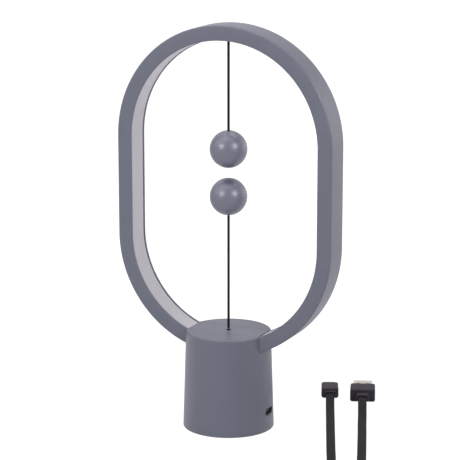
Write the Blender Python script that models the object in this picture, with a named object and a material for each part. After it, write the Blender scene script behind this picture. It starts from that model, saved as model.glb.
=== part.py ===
"""Oval ring table lamp, switched on by a ball that a magnet holds up on a tight cord.

Lengths are in metres, Z is up, and the origin is the middle of the foot. The ring stands in the XZ
plane and its front faces -Y. The round base holds the ring's two ends, the pull switch, the ballast and
the driver board. The balls hang and stand on the ring's middle line. A flat USB cable lies beside it.
"""

from math import asin, ceil, cos, pi, radians, sin, sqrt

import bmesh
import bpy
from mathutils import Matrix, Vector

# Clearances
SEAT_GAP = 0.0003
RUNNING_GAP = 0.0003
CUT_OVERRUN = 0.0010
WELD_DEPTH = 0.0005

# Ring: outer size, and the section that every piece of it shares
RING_WIDTH = 0.1363
RING_HEIGHT = 0.1949
RING_DEPTH = 0.0176
RING_THICKNESS = 0.0088
RING_WALL = 0.0015
RING_SINK = 0.0135
RING_MOUTH = 0.0260
COVER_LIP_HEIGHT = 0.0018
COVER_LIP_THICKNESS = 0.0009
DIFFUSER_THICKNESS = 0.0012
DIFFUSER_RECESS = 0.0003
STRIP_WIDTH = 0.0080
STRIP_THICKNESS = 0.0004
CHIP_LENGTH = 0.0028
CHIP_WIDTH = 0.0035
CHIP_HEIGHT = 0.0008
CHIPS_ON_A_SIDE = 5
QUARTER_STEPS = 12

# Base shell
BASE_HEIGHT = 0.0587
BASE_TOP_RADIUS = 0.0252
BASE_BOTTOM_RADIUS = 0.0271
BASE_WALL = 0.0020
DECK_THICKNESS = 0.0022
BASE_EDGE = 0.0005
RIM_HEIGHT = 0.0006
POST_RADIUS = 0.0030
POST_LAND = 0.0044
BOSS_RADIUS = 0.0026
BOSS_TOP = 0.0220
BOSS_ANGLES = (60, 180, 300)
BASE_STEPS = 48
GROOVE_STEPS = 96

# Slot cover across the base's top, and the bush that the lower cord passes
COVER_BOSS_RADIUS = 0.0024
COVER_BOSS_REACH = 0.0085
COVER_SKIN = 0.0015
CORD_HOLE_RADIUS = 0.00145
BUSH_WALL = 0.0009
BUSH_HEIGHT = 0.0024

# Underside
PAD_THICKNESS = 0.0010
PAD_MARGIN = 0.0005
BOTTOM_THICKNESS = 0.0022
BALLAST_HEIGHT = 0.0156
BALLAST_CLEARANCE = 0.0004
BALLAST_SLOT_SIDE_SHARE = 0.53
BALLAST_SLOT_BACK_SHARE = 0.404

# Driver board, and the socket in the base's right side
PORT_HEIGHT = 0.0118
SOCKET_WIDTH = 0.00894
SOCKET_HEIGHT = 0.00326
SOCKET_LENGTH = 0.0073
SOCKET_WALL = 0.0003
SOCKET_RECESS = 0.0006
SOCKET_FLOOR = 0.0010
TONGUE_WIDTH = 0.0067
TONGUE_THICKNESS = 0.0007
TONGUE_SETBACK = 0.0008
BOARD_CLEARANCE = 0.0015
BOARD_THICKNESS = 0.0016
SOCKET_OVERHANG = 0.0040
STANDOFF_RADIUS = 0.0020
STANDOFF_INSET = 0.0018
STANDOFF_FRONT = 0.0084
LEAD_SOCKET_SIZE = (0.0045, 0.0080, 0.0032)
LEAD_SPACING = 0.0050
DRIVER_CHIP_SIZE = (0.0050, 0.0040, 0.0012)
CAPACITOR_RADIUS = 0.0019
CAPACITOR_HEIGHT = 0.0040
LEAD_SOCKET_PLACE_SHARE = 0.27
DRIVER_CHIP_PLACE_SHARE = 0.50
CAPACITOR_PLACE_SHARE = 0.75

# Screws
SCREW_RADIUS = 0.0010
SCREW_HEAD_RADIUS = 0.0019
SCREW_HEAD_HEIGHT = 0.0012
SCREW_GRIP = 0.0060
SMALL_SCREW_RADIUS = 0.00075
SMALL_HEAD_RADIUS = 0.0014
SMALL_HEAD_HEIGHT = 0.0009
SMALL_SCREW_GRIP = 0.0030
SCREW_STEPS = 12

# Balls, cords and knots
BALL_RADIUS = 0.0110
BALL_WALL = 0.0016
BALL_GAP = 0.0061
BALL_LIP_HEIGHT = 0.0012
BALL_LIP_THICKNESS = 0.0008
LOWER_CORD_RISE = 0.0695
CORD_RADIUS = 0.0007
BEAD_RADIUS = 0.0009
KNOT_RADIUS = 0.0015
PIVOT_DROP = 0.0003
MAGNET_RADIUS = 0.0050
MAGNET_THICKNESS = 0.0040
ANCHOR_RADIUS = 0.0018
ANCHOR_FLANGE_RADIUS = 0.0030
ANCHOR_FLANGE_THICKNESS = 0.0010
ANCHOR_CUP_RADIUS = 0.0013
ANCHOR_CUP_DEPTH = 0.0016
BALL_STEPS = 24
BALL_ARC_STEPS = 6
CORD_STEPS = 8
KNOT_STEPS = 10

# Pull switch
FRAME_CLEARANCE = 0.0015
FRAME_THICKNESS = 0.0020
FRAME_ARM_WIDTH = 0.0120
FRAME_END_WIDTH = 0.0070
FRAME_END_MARGIN = 0.0005
FRAME_BACK_REACH = 0.0115
FRAME_BACK_WIDTH = 0.0064
COLLAR_RADIUS = 0.0036
COLLAR_HEIGHT = 0.0040
STEM_RADIUS = 0.0018
STEM_TOP_REACH = 0.0030
FLANGE_RADIUS = 0.0055
FLANGE_THICKNESS = 0.0015
SPRING_LENGTH = 0.0095
SPRING_RADIUS = 0.0030
SPRING_WIRE_RADIUS = 0.0003
SPRING_TURNS = 6
SPRING_POINTS = 10
SPRING_SIDES = 6
SWITCH_DROP = 0.0022
SWITCH_START = 0.0060
SWITCH_LENGTH = 0.0124
SWITCH_WIDTH = 0.0058
LEVER_THICKNESS = 0.0003
LEVER_WIDTH = 0.0038
LEVER_TIP = 0.0043
LEVER_EYE_RADIUS = 0.0010
LEVER_PIN_RADIUS = 0.00035
EYE_HEADROOM = 0.0005
EAR_THICKNESS = 0.0007
EAR_LENGTH = 0.0020
CHEEK_THICKNESS = 0.0020
BUTTON_PLACE_SHARE = 0.5
BUTTON_LENGTH = 0.0012
BUTTON_WIDTH = 0.0020
BUTTON_DEPTH = 0.0016
PIN_RADIUS = 0.00075
PIN_OVERHANG = 0.0005
PIN_PLACE_SHARES = (0.2, 0.84)
PIN_HEIGHT_SHARE = 0.66

# Leads inside the base; each row is a share of the way in plan and a share of the drop
LEAD_RADIUS = 0.0008
LEAD_STEP = 0.0022
LED_LEAD_SIDE = 0.0045
LED_LEAD_INSET = 0.0032
SWITCH_LEAD_HEIGHT_SHARE = 0.5
LED_LEAD_SHARES = (
    (0.0, 0.0), (0.10, 0.03), (0.17, 0.10), (0.20, 0.22), (0.22, 0.40), (0.28, 0.56),
    (0.42, 0.70), (0.68, 0.80), (0.90, 0.88), (1.0, 0.95), (1.0, 1.0),
)
SWITCH_LEAD_SHARES = (
    (0.0, 0.0), (-0.05, 0.02), (-0.08, 0.10), (-0.08, 0.26), (-0.03, 0.44), (0.20, 0.66),
    (0.58, 0.80), (0.90, 0.90), (1.0, 0.96), (1.0, 1.0),
)

# Flat USB cable: section, coil and tie
CABLE_WIDTH = 0.0053
CABLE_THICKNESS = 0.0018
CABLE_CORNER = 0.0006
CABLE_STEP = 0.0100
COIL_CENTRE = (0.1111, -0.0967)
COIL_HEADING_DEGREES = -65.1
COIL_INNER_RADIUS = 0.0242
COIL_PITCH = 0.0024
COIL_LAYER_GAP = 0.0006
COIL_HALF_TURNS = 9
COIL_TURN_POINTS = 24
TWIST_LENGTH = 0.0300
TIE_WIDTH = 0.0060
TIE_THICKNESS = 0.0004
TIE_ANGLE_DEGREES = -65.1

# Route of each cable end in plan and height, chosen by hand, from its plug to the coil
C_LEAD_ROUTE = (
    (0.0371, 0.0698, 0.0032), (0.0394, 0.0643, 0.0030), (0.0432, 0.0550, 0.0020),
    (0.0474, 0.0448, 0.0012), (0.0539, 0.0291, 0.0010), (0.0611, 0.0116, 0.0010),
    (0.0676, -0.0041, 0.0010), (0.0745, -0.0208, 0.0010), (0.0826, -0.0404, 0.0010),
    (0.0858, -0.0524, 0.0010), (0.0836, -0.0650, 0.0013), (0.0797, -0.0779, 0.0021),
    (0.0775, -0.0903, 0.0031),
)
A_LEAD_ROUTE = (
    (0.0592, 0.0685, 0.0040), (0.0613, 0.0629, 0.0037), (0.0649, 0.0536, 0.0026),
    (0.0689, 0.0433, 0.0014), (0.0742, 0.0293, 0.0010), (0.0800, 0.0144, 0.0010),
    (0.0857, -0.0006, 0.0010), (0.0918, -0.0165, 0.0010), (0.0982, -0.0331, 0.0010),
    (0.1039, -0.0440, 0.0013), (0.1119, -0.0524, 0.0026), (0.1210, -0.0593, 0.0050),
    (0.1290, -0.0669, 0.0078),
)

# C plug
C_SHELL_WIDTH = 0.00825
C_SHELL_HEIGHT = 0.0024
C_SHELL_LENGTH = 0.0070
C_SHELL_WALL = 0.0003
C_BODY_WIDTH = 0.0107
C_BODY_HEIGHT = 0.0064
C_BODY_LENGTH = 0.0144
C_NECK_WIDTH = 0.0076
C_NECK_HEIGHT = 0.0036
C_NECK_LENGTH = 0.0020
C_INSERT_LENGTH = 0.0020

# A plug
A_SHELL_WIDTH = 0.0120
A_SHELL_HEIGHT = 0.0045
A_SHELL_LENGTH = 0.0120
A_SHELL_WALL = 0.0003
A_BODY_WIDTH = 0.0156
A_BODY_HEIGHT = 0.0080
A_BODY_LENGTH = 0.0141
A_NECK_WIDTH = 0.0076
A_NECK_HEIGHT = 0.0044
A_NECK_LENGTH = 0.0049
A_WINDOW_LENGTH = 0.0021
A_WINDOW_WIDTH = 0.0020
A_WINDOW_SPACING = 0.0058
A_WINDOW_SETBACK = 0.0072
A_TONGUE_THICKNESS = 0.0016
A_CONTACT_WIDTH = 0.0010
A_CONTACT_LENGTH = 0.0070
A_CONTACT_THICKNESS = 0.0002
A_CONTACT_PITCH = 0.0024
A_CONTACTS = 4
PLUG_POCKET_DEPTH = 0.0020
PLUG_EDGE_RADIUS = 0.0009
PLUG_CORNER_STEPS = 2
BODY_TAPER_SHARE = 0.93
BODY_SHOULDER_SHARE = 0.12

# Places that follow from the sizes above
RING_RADIUS = RING_WIDTH / 2
RING_LOW = BASE_HEIGHT - RING_SINK
RING_TOP = RING_LOW + RING_HEIGHT
LOWER_CENTRE = RING_LOW + RING_RADIUS
UPPER_CENTRE = RING_TOP - RING_RADIUS
RING_FRONT = -RING_DEPTH / 2
RING_BACK = RING_DEPTH / 2
RING_INNER_TOP = RING_TOP - RING_THICKNESS
STRIP_INSET = RING_WALL + SEAT_GAP
CHIP_TOP_INSET = STRIP_INSET + STRIP_THICKNESS + CHIP_HEIGHT
DIFFUSER_INSET = RING_THICKNESS - DIFFUSER_RECESS - DIFFUSER_THICKNESS
MOUTH_ANGLE = asin(RING_MOUTH / 2 / (RING_RADIUS - RING_THICKNESS))

UPPER_PIVOT = Vector((0, 0, RING_INNER_TOP + DIFFUSER_RECESS - PIVOT_DROP))
LOWER_PIVOT = Vector((0, 0, BASE_HEIGHT - PIVOT_DROP))
LOWER_BALL_CENTRE = Vector((0, 0, BASE_HEIGHT + LOWER_CORD_RISE + BALL_RADIUS))
UPPER_BALL_CENTRE = LOWER_BALL_CENTRE + Vector((0, 0, 2 * BALL_RADIUS + BALL_GAP))
BALL_CAVITY = BALL_RADIUS - BALL_WALL
KNOT_REACH = BALL_CAVITY - SEAT_GAP - KNOT_RADIUS
CORD_BORE = CORD_RADIUS + RUNNING_GAP

FRAME_TOP = RING_LOW - FRAME_CLEARANCE
FRAME_LOW = FRAME_TOP - FRAME_THICKNESS
POST_REACH = RING_DEPTH / 2 + SEAT_GAP + POST_LAND + POST_RADIUS
SPRING_TOP = FRAME_LOW - SEAT_GAP
SPRING_LOW = SPRING_TOP - SPRING_LENGTH
FLANGE_TOP = SPRING_LOW - SEAT_GAP
FLANGE_LOW = FLANGE_TOP - FLANGE_THICKNESS
PULL_KNOT_HEIGHT = FLANGE_LOW - sqrt((KNOT_RADIUS + SEAT_GAP) ** 2 - CORD_BORE ** 2)
LEVER_LOW = FLANGE_TOP + SEAT_GAP
LEVER_TOP = LEVER_LOW + LEVER_THICKNESS
EYE_HEIGHT = LEVER_LOW + LEVER_EYE_RADIUS
SWITCH_LOW = EYE_HEIGHT + LEVER_EYE_RADIUS + EYE_HEADROOM
SWITCH_TOP = FRAME_LOW - SWITCH_DROP
SWITCH_END = SWITCH_START + SWITCH_LENGTH
EYE_PLACE = SWITCH_END - LEVER_EYE_RADIUS + EAR_THICKNESS / 2
EYE_BORE = LEVER_PIN_RADIUS + RUNNING_GAP
SLIDER_AXIS = Vector((0, 0, FLANGE_LOW))
LEVER_PIVOT = Vector((EYE_PLACE, 0, EYE_HEIGHT))
BUTTON_PLACE = SWITCH_START + SWITCH_LENGTH * BUTTON_PLACE_SHARE

BOTTOM_LOW = PAD_THICKNESS + SEAT_GAP
BOTTOM_TOP = BOTTOM_LOW + BOTTOM_THICKNESS
BALLAST_LOW = BOTTOM_TOP + SEAT_GAP
BOARD_TOP = PORT_HEIGHT - SOCKET_HEIGHT / 2 - SEAT_GAP
BOARD_LOW = BOARD_TOP - BOARD_THICKNESS

COIL_HEADING = radians(COIL_HEADING_DEGREES)
COIL_LOW_HEIGHT = TIE_THICKNESS + SEAT_GAP + CABLE_WIDTH / 2
COIL_HIGH_HEIGHT = COIL_LOW_HEIGHT + CABLE_WIDTH + COIL_LAYER_GAP

# Colours are linear red, green and blue, then roughness and metallic
FINISHES = {
    "grey_plastic": ((0.19, 0.20, 0.24), 0.50, 0.0),
    "ball_plastic": ((0.17, 0.18, 0.22), 0.42, 0.0),
    "diffuser": ((0.56, 0.54, 0.54), 0.55, 0.0),
    "strip_board": ((0.80, 0.80, 0.76), 0.60, 0.0),
    "chip_yellow": ((0.85, 0.66, 0.20), 0.45, 0.0),
    "black_cord": ((0.020, 0.020, 0.022), 0.85, 0.0),
    "black_plastic": ((0.025, 0.025, 0.028), 0.50, 0.0),
    "dark_foam": ((0.030, 0.030, 0.033), 0.95, 0.0),
    "white_nylon": ((0.70, 0.69, 0.66), 0.50, 0.0),
    "green_board": ((0.020, 0.14, 0.070), 0.45, 0.0),
    "steel": ((0.55, 0.55, 0.56), 0.32, 1.0),
    "cast_iron": ((0.12, 0.12, 0.13), 0.60, 1.0),
    "magnet_nickel": ((0.62, 0.61, 0.58), 0.22, 1.0),
    "plug_steel": ((0.52, 0.46, 0.40), 0.35, 1.0),
    "plug_rubber": ((0.036, 0.033, 0.040), 0.60, 0.0),
    "cable_rubber": ((0.034, 0.032, 0.037), 0.62, 0.0),
    "lead_red": ((0.45, 0.03, 0.02), 0.55, 0.0),
}

IDENTITY = Matrix.Identity(4)
# Local Z runs along -Y here, and along +X in the second
OUTLINE_IN_XZ = Matrix.Rotation(pi / 2, 4, "X")
OUTLINE_IN_YZ = Matrix(((0, 0, 1, 0), (1, 0, 0, 0), (0, 1, 0, 0), (0, 0, 0, 1)))


def clear_scene():
    for item in list(bpy.data.objects):
        bpy.data.objects.remove(item, do_unlink=True)


def finish_material(name):
    """The Principled material of that name, made the first time that it is asked for."""
    found = bpy.data.materials.get(name)
    if found:
        return found
    colour, roughness, metallic = FINISHES[name]
    made = bpy.data.materials.new(name)
    made.use_nodes = True
    shader = made.node_tree.nodes["Principled BSDF"]
    shader.inputs["Base Color"].default_value = (*colour, 1)
    shader.inputs["Roughness"].default_value = roughness
    shader.inputs["Metallic"].default_value = metallic
    made.diffuse_color = (*colour, 1)
    return made


def make_empty(name, place):
    """An empty on a joint's axis, which the pieces of that moving body hang on."""
    empty = bpy.data.objects.new(name, None)
    empty.location = place
    bpy.context.scene.collection.objects.link(empty)
    return empty


def make_object(name, bm, finish, pivot=None, place=IDENTITY):
    """An object from a bmesh that is drawn in the lamp's frame, or in a frame that place gives."""
    bmesh.ops.recalc_face_normals(bm, faces=bm.faces)
    mesh = bpy.data.meshes.new(name)
    bm.to_mesh(mesh)
    bm.free()
    if finish:
        mesh.materials.append(finish_material(finish))
    mesh.shade_smooth()
    mesh.set_sharp_from_angle(angle=radians(35))
    made = bpy.data.objects.new(name, mesh)
    bpy.context.scene.collection.objects.link(made)
    made.matrix_world = place
    if pivot:
        mesh.transform(Matrix.Translation(-pivot.location))
        made.parent = pivot
    return made


def helper_boolean(target, name, bm, operation, place):
    """Cut or weld a hidden solid, which may have several bodies that don't meet, into the target."""
    helper = make_object(name, bm, None, place=place)
    helper.hide_render = True
    helper.display_type = "WIRE"
    modifier = target.modifiers.new(name, "BOOLEAN")
    modifier.operation = operation
    modifier.solver = "EXACT"
    modifier.object = helper


def cut(target, name, bm, place=IDENTITY):
    helper_boolean(target, name, bm, "DIFFERENCE", place)


def weld(target, name, bm, place=IDENTITY):
    helper_boolean(target, name, bm, "UNION", place)


def around(steps):
    return [2 * pi * i / steps for i in range(steps)]


def arc_points(centre, radius, start, stop, steps):
    """Points on an arc in a plane, both ends included."""
    angles = [start + (stop - start) * i / steps for i in range(steps + 1)]
    return [(centre[0] + radius * cos(a), centre[1] + radius * sin(a)) for a in angles]


def rounded_outline(width, height, radius, steps):
    """A rectangle round the origin with rounded corners."""
    points = []
    quarter = pi / 2
    for turn, (right, top) in enumerate(((1, 1), (-1, 1), (-1, -1), (1, -1))):
        centre = (right * (width / 2 - radius), top * (height / 2 - radius))
        points += arc_points(centre, radius, turn * quarter, (turn + 1) * quarter, steps)
    return points


def add_rings(bm, rings, closed_run=False, place=IDENTITY):
    """Skin a run of rings of points, and cap its two ends unless the run closes on itself."""
    loops = [[bm.verts.new(place @ Vector(point)) for point in ring] for ring in rings]
    pairs = list(zip(loops, loops[1:]))
    if closed_run:
        pairs.append((loops[-1], loops[0]))
    else:
        bm.faces.new(loops[0])
        bm.faces.new(loops[-1])
    for first, second in pairs:
        for i in range(len(first)):
            j = (i + 1) % len(first)
            bm.faces.new((first[i], first[j], second[j], second[i]))


def add_turned(bm, profile, steps, place=IDENTITY):
    """Turn (radius, height) points round local Z. A profile that starts on the axis also ends there,
    and any other one closes on itself."""
    loops = []
    for radius, height in profile:
        if radius == 0:
            loops.append([bm.verts.new(place @ Vector((0, 0, height)))] * steps)
        else:
            ring = [Vector((radius * cos(a), radius * sin(a), height)) for a in around(steps)]
            loops.append([bm.verts.new(place @ point) for point in ring])
    pairs = list(zip(loops, loops[1:]))
    if profile[0][0] != 0:
        pairs.append((loops[-1], loops[0]))
    for first, second in pairs:
        for i in range(steps):
            j = (i + 1) % steps
            corners = dict.fromkeys((first[i], first[j], second[j], second[i]))
            bm.faces.new(list(corners))


def add_cylinder(bm, radius, low, high, steps, place=IDENTITY):
    add_turned(bm, [(0, low), (radius, low), (radius, high), (0, high)], steps, place)


def add_sphere(bm, centre, radius, steps):
    bmesh.ops.create_uvsphere(
        bm, u_segments=steps, v_segments=steps // 2, radius=radius, matrix=Matrix.Translation(centre)
    )


def add_prism(bm, outline, low, high, place=IDENTITY):
    """Stand an outline up from one height to another along its frame's Z."""
    rings = [[(x, y, height) for x, y in outline] for height in (low, high)]
    add_rings(bm, rings, place=place)


def add_box(bm, low, high, place=IDENTITY):
    outline = [(low[0], low[1]), (high[0], low[1]), (high[0], high[1]), (low[0], high[1])]
    add_prism(bm, outline, low[2], high[2], place)


def add_block(bm, plan, size, low, place=IDENTITY):
    """A box of that size whose plan is centred on a place, standing on a height."""
    half_x, half_y = size[0] / 2, size[1] / 2
    corner = (plan[0] - half_x, plan[1] - half_y, low)
    add_box(bm, corner, (plan[0] + half_x, plan[1] + half_y, low + size[2]), place)


def add_sleeve(bm, outer, inner, low, high, place=IDENTITY):
    """A tube with an outline outside and a like one, with as many points, inside."""
    rings = [[(x, y, height) for x, y in outline] for outline, height in
             ((outer, low), (outer, high), (inner, high), (inner, low))]
    add_rings(bm, rings, closed_run=True, place=place)


def base_radius(height):
    """Outer radius of the tapered base at a height."""
    return BASE_BOTTOM_RADIUS + (BASE_TOP_RADIUS - BASE_BOTTOM_RADIUS) * height / BASE_HEIGHT


# Ring


def ring_stations():
    """(height of the arc's centre, angle) of each station, from the right end round to the left one."""
    sweep = pi / 2 - MOUTH_ANGLE
    lower = [-sweep + sweep * i / QUARTER_STEPS for i in range(QUARTER_STEPS + 1)]
    upper = [pi / 2 * i / QUARTER_STEPS for i in range(2 * QUARTER_STEPS + 1)]
    right = [(LOWER_CENTRE, a) for a in lower]
    over = [(UPPER_CENTRE, a) for a in upper]
    left = [(LOWER_CENTRE, pi - a) for a in reversed(lower)]
    return right + over + left


def ring_point(station, inset, depth):
    """A point of the ring's section: inset is how far it lies inside the outer face."""
    centre, angle = station
    radius = RING_RADIUS - inset
    return Vector((radius * cos(angle), depth, centre + radius * sin(angle)))


def ring_piece(name, section, finish):
    """Carry a section of (inset, depth) points round the ring."""
    bm = bmesh.new()
    add_rings(bm, [[ring_point(s, inset, depth) for inset, depth in section] for s in ring_stations()])
    return make_object(name, bm, finish)


def make_ring():
    wall_start = RING_FRONT + RING_WALL + SEAT_GAP
    back_wall = RING_BACK - RING_WALL
    ring_piece("ring_rear_shell", [
        (0, wall_start), (0, RING_BACK), (RING_THICKNESS, RING_BACK),
        (RING_THICKNESS, back_wall), (RING_WALL, back_wall), (RING_WALL, wall_start),
    ], "grey_plastic")
    front_inside = RING_FRONT + RING_WALL
    lip_inset = RING_WALL + SEAT_GAP
    lip_end = front_inside + COVER_LIP_HEIGHT
    ring_piece("ring_front_cover", [
        (0, RING_FRONT), (RING_THICKNESS, RING_FRONT), (RING_THICKNESS, front_inside),
        (lip_inset + COVER_LIP_THICKNESS, front_inside), (lip_inset + COVER_LIP_THICKNESS, lip_end),
        (lip_inset, lip_end), (lip_inset, front_inside), (0, front_inside),
    ], "grey_plastic")
    near, far = front_inside + SEAT_GAP, back_wall - SEAT_GAP
    diffuser_face = DIFFUSER_INSET + DIFFUSER_THICKNESS
    diffuser = ring_piece("ring_diffuser", [
        (DIFFUSER_INSET, near), (diffuser_face, near), (diffuser_face, far), (DIFFUSER_INSET, far),
    ], "diffuser")
    hole = bmesh.new()
    hole_low = RING_INNER_TOP - CUT_OVERRUN
    hole_high = RING_TOP - DIFFUSER_INSET + CUT_OVERRUN
    add_cylinder(hole, ANCHOR_RADIUS + SEAT_GAP, hole_low, hole_high, SCREW_STEPS)
    cut(diffuser, "diffuser_hole", hole)
    strip_face = STRIP_INSET + STRIP_THICKNESS
    strip = ring_piece("led_strip", [
        (STRIP_INSET, -STRIP_WIDTH / 2), (strip_face, -STRIP_WIDTH / 2),
        (strip_face, STRIP_WIDTH / 2), (STRIP_INSET, STRIP_WIDTH / 2),
    ], "strip_board")
    weld(strip, "strip_chips", led_chips())


def led_chips():
    """Emitters on every second facet of the strip's bends, and in a row along its straight sides."""
    bm = bmesh.new()
    stations = ring_stations()
    sunk = STRIP_THICKNESS / 2
    depthwise = Vector((0, 1, 0))
    for index, (first, second) in enumerate(zip(stations, stations[1:])):
        start, end = (ring_point(s, STRIP_INSET + sunk, 0) for s in (first, second))
        along = (end - start).normalized()
        inward = along.cross(depthwise)
        axes = Matrix((along, depthwise, inward)).transposed().to_4x4()
        straight = first[0] != second[0]
        count = CHIPS_ON_A_SIDE if straight else (index + 1) % 2
        for i in range(count):
            place = Matrix.Translation(start.lerp(end, (i + 0.5) / count)) @ axes
            add_block(bm, (0, 0), (CHIP_LENGTH, CHIP_WIDTH, sunk + CHIP_HEIGHT), 0, place)
    return bm


def make_anchor():
    """Bush in the diffuser's top: a flange over the diffuser and a cup that the cord's bead sits in."""
    low = RING_INNER_TOP + DIFFUSER_RECESS
    flange_low = low + DIFFUSER_THICKNESS + SEAT_GAP
    flange_top = flange_low + ANCHOR_FLANGE_THICKNESS
    top = RING_TOP - CHIP_TOP_INSET - SEAT_GAP
    bm = bmesh.new()
    add_turned(bm, [
        (0, top), (ANCHOR_RADIUS, top), (ANCHOR_RADIUS, flange_top),
        (ANCHOR_FLANGE_RADIUS, flange_top), (ANCHOR_FLANGE_RADIUS, flange_low),
        (ANCHOR_RADIUS, flange_low), (ANCHOR_RADIUS, low), (ANCHOR_CUP_RADIUS, low),
        (ANCHOR_CUP_RADIUS, low + ANCHOR_CUP_DEPTH), (0, low + ANCHOR_CUP_DEPTH),
    ], SCREW_STEPS)
    make_object("upper_cord_anchor", bm, "grey_plastic")


# Balls


def shell_arc(radius, hole, seam):
    """(radius, height) points of a sphere from the seam's height to the pole or the hole's edge."""
    low = asin(seam / radius)
    high = pi / 2 - asin(hole / radius)
    steps = BALL_ARC_STEPS
    angles = [low + (high - low) * i / steps for i in range(steps + 1)]
    points = [(radius * cos(a), radius * sin(a)) for a in angles]
    if hole == 0:
        points[-1] = (0, radius)
    return points


def cord_half_profile():
    """The half with the cord's hole: a cup with a hole at its pole."""
    outer = shell_arc(BALL_RADIUS, CORD_BORE, SEAT_GAP / 2)
    inner = shell_arc(BALL_CAVITY, CORD_BORE, SEAT_GAP / 2)
    return outer + inner[::-1]


def magnet_half_profile():
    """The half with the magnet: a cup whose lip reaches into the other half."""
    lip_outer = BALL_CAVITY - SEAT_GAP
    lip_inner = lip_outer - BALL_LIP_THICKNESS
    join = sqrt(BALL_CAVITY ** 2 - lip_inner ** 2)
    outer = shell_arc(BALL_RADIUS, 0, SEAT_GAP / 2)
    inner = shell_arc(BALL_CAVITY, 0, join)
    lip = [(lip_inner, -BALL_LIP_HEIGHT), (lip_outer, -BALL_LIP_HEIGHT), (lip_outer, SEAT_GAP / 2)]
    return inner[::-1] + lip + outer


def make_ball(prefix, centre, cord_side, pivot):
    """A hollow ball of two halves with its magnet and the cord's knot. cord_side is 1 where the cord
    comes in from above and -1 where it comes in from below."""
    cord_half, magnet_half = ("top", "bottom") if cord_side > 0 else ("bottom", "top")
    up = Matrix.Translation(centre) @ Matrix.Diagonal((1, 1, cord_side, 1))
    down = Matrix.Translation(centre) @ Matrix.Diagonal((1, 1, -cord_side, 1))
    bm = bmesh.new()
    add_turned(bm, cord_half_profile(), BALL_STEPS, up)
    make_object(f"{prefix}_ball_{cord_half}_half", bm, "ball_plastic", pivot)
    bm = bmesh.new()
    add_turned(bm, magnet_half_profile(), BALL_STEPS, down)
    make_object(f"{prefix}_ball_{magnet_half}_half", bm, "ball_plastic", pivot)
    far = sqrt((BALL_CAVITY - SEAT_GAP) ** 2 - MAGNET_RADIUS ** 2)
    bm = bmesh.new()
    add_cylinder(bm, MAGNET_RADIUS, far - MAGNET_THICKNESS, far, BALL_STEPS, down)
    make_object(f"{prefix}_magnet", bm, "magnet_nickel", pivot)
    bm = bmesh.new()
    add_sphere(bm, centre + Vector((0, 0, cord_side * KNOT_REACH)), KNOT_RADIUS, KNOT_STEPS)
    make_object(f"{prefix}_cord_knot", bm, "black_cord", pivot)


def straight_cord(name, low, high, pivot):
    bm = bmesh.new()
    add_cylinder(bm, CORD_RADIUS, low, high, CORD_STEPS)
    make_object(name, bm, "black_cord", pivot)


def bead(name, pivot):
    bm = bmesh.new()
    add_sphere(bm, pivot.location, BEAD_RADIUS, KNOT_STEPS)
    make_object(name, bm, "black_cord", pivot)


def make_balls():
    upper = make_empty("upper_pivot", UPPER_PIVOT)
    lower = make_empty("lower_pivot", LOWER_PIVOT)
    bead("upper_cord_bead", upper)
    bead("lower_cord_bead", lower)
    bead_reach = BEAD_RADIUS + SEAT_GAP
    knot_end = KNOT_REACH + KNOT_RADIUS + SEAT_GAP
    straight_cord("upper_cord", UPPER_BALL_CENTRE.z + knot_end, UPPER_PIVOT.z - bead_reach, upper)
    straight_cord("lower_cord", LOWER_PIVOT.z + bead_reach, LOWER_BALL_CENTRE.z - knot_end, lower)
    make_ball("upper", UPPER_BALL_CENTRE, 1, upper)
    make_ball("lower", LOWER_BALL_CENTRE, -1, lower)


# Base


def boss_reach():
    """How far the bottom screws' bosses stand from the middle: just sunk into the wall."""
    return base_radius(RIM_HEIGHT) - BASE_WALL - BOSS_RADIUS + WELD_DEPTH


def boss_places():
    return [Matrix.Rotation(radians(a), 4, "Z") @ Vector((boss_reach(), 0, 0)) for a in BOSS_ANGLES]


def post_places():
    return [Vector((0, side * POST_REACH, 0)) for side in (-1, 1)]


def cover_boss_places():
    return [Vector((side * COVER_BOSS_REACH, 0, 0)) for side in (-1, 1)]


def port_outline(clearance):
    width, height = SOCKET_WIDTH + 2 * clearance, SOCKET_HEIGHT + 2 * clearance
    steps = 2 * PLUG_CORNER_STEPS
    outline = rounded_outline(width, height, height / 2 * 0.98, steps)
    return [(x, y + PORT_HEIGHT) for x, y in outline]


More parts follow.
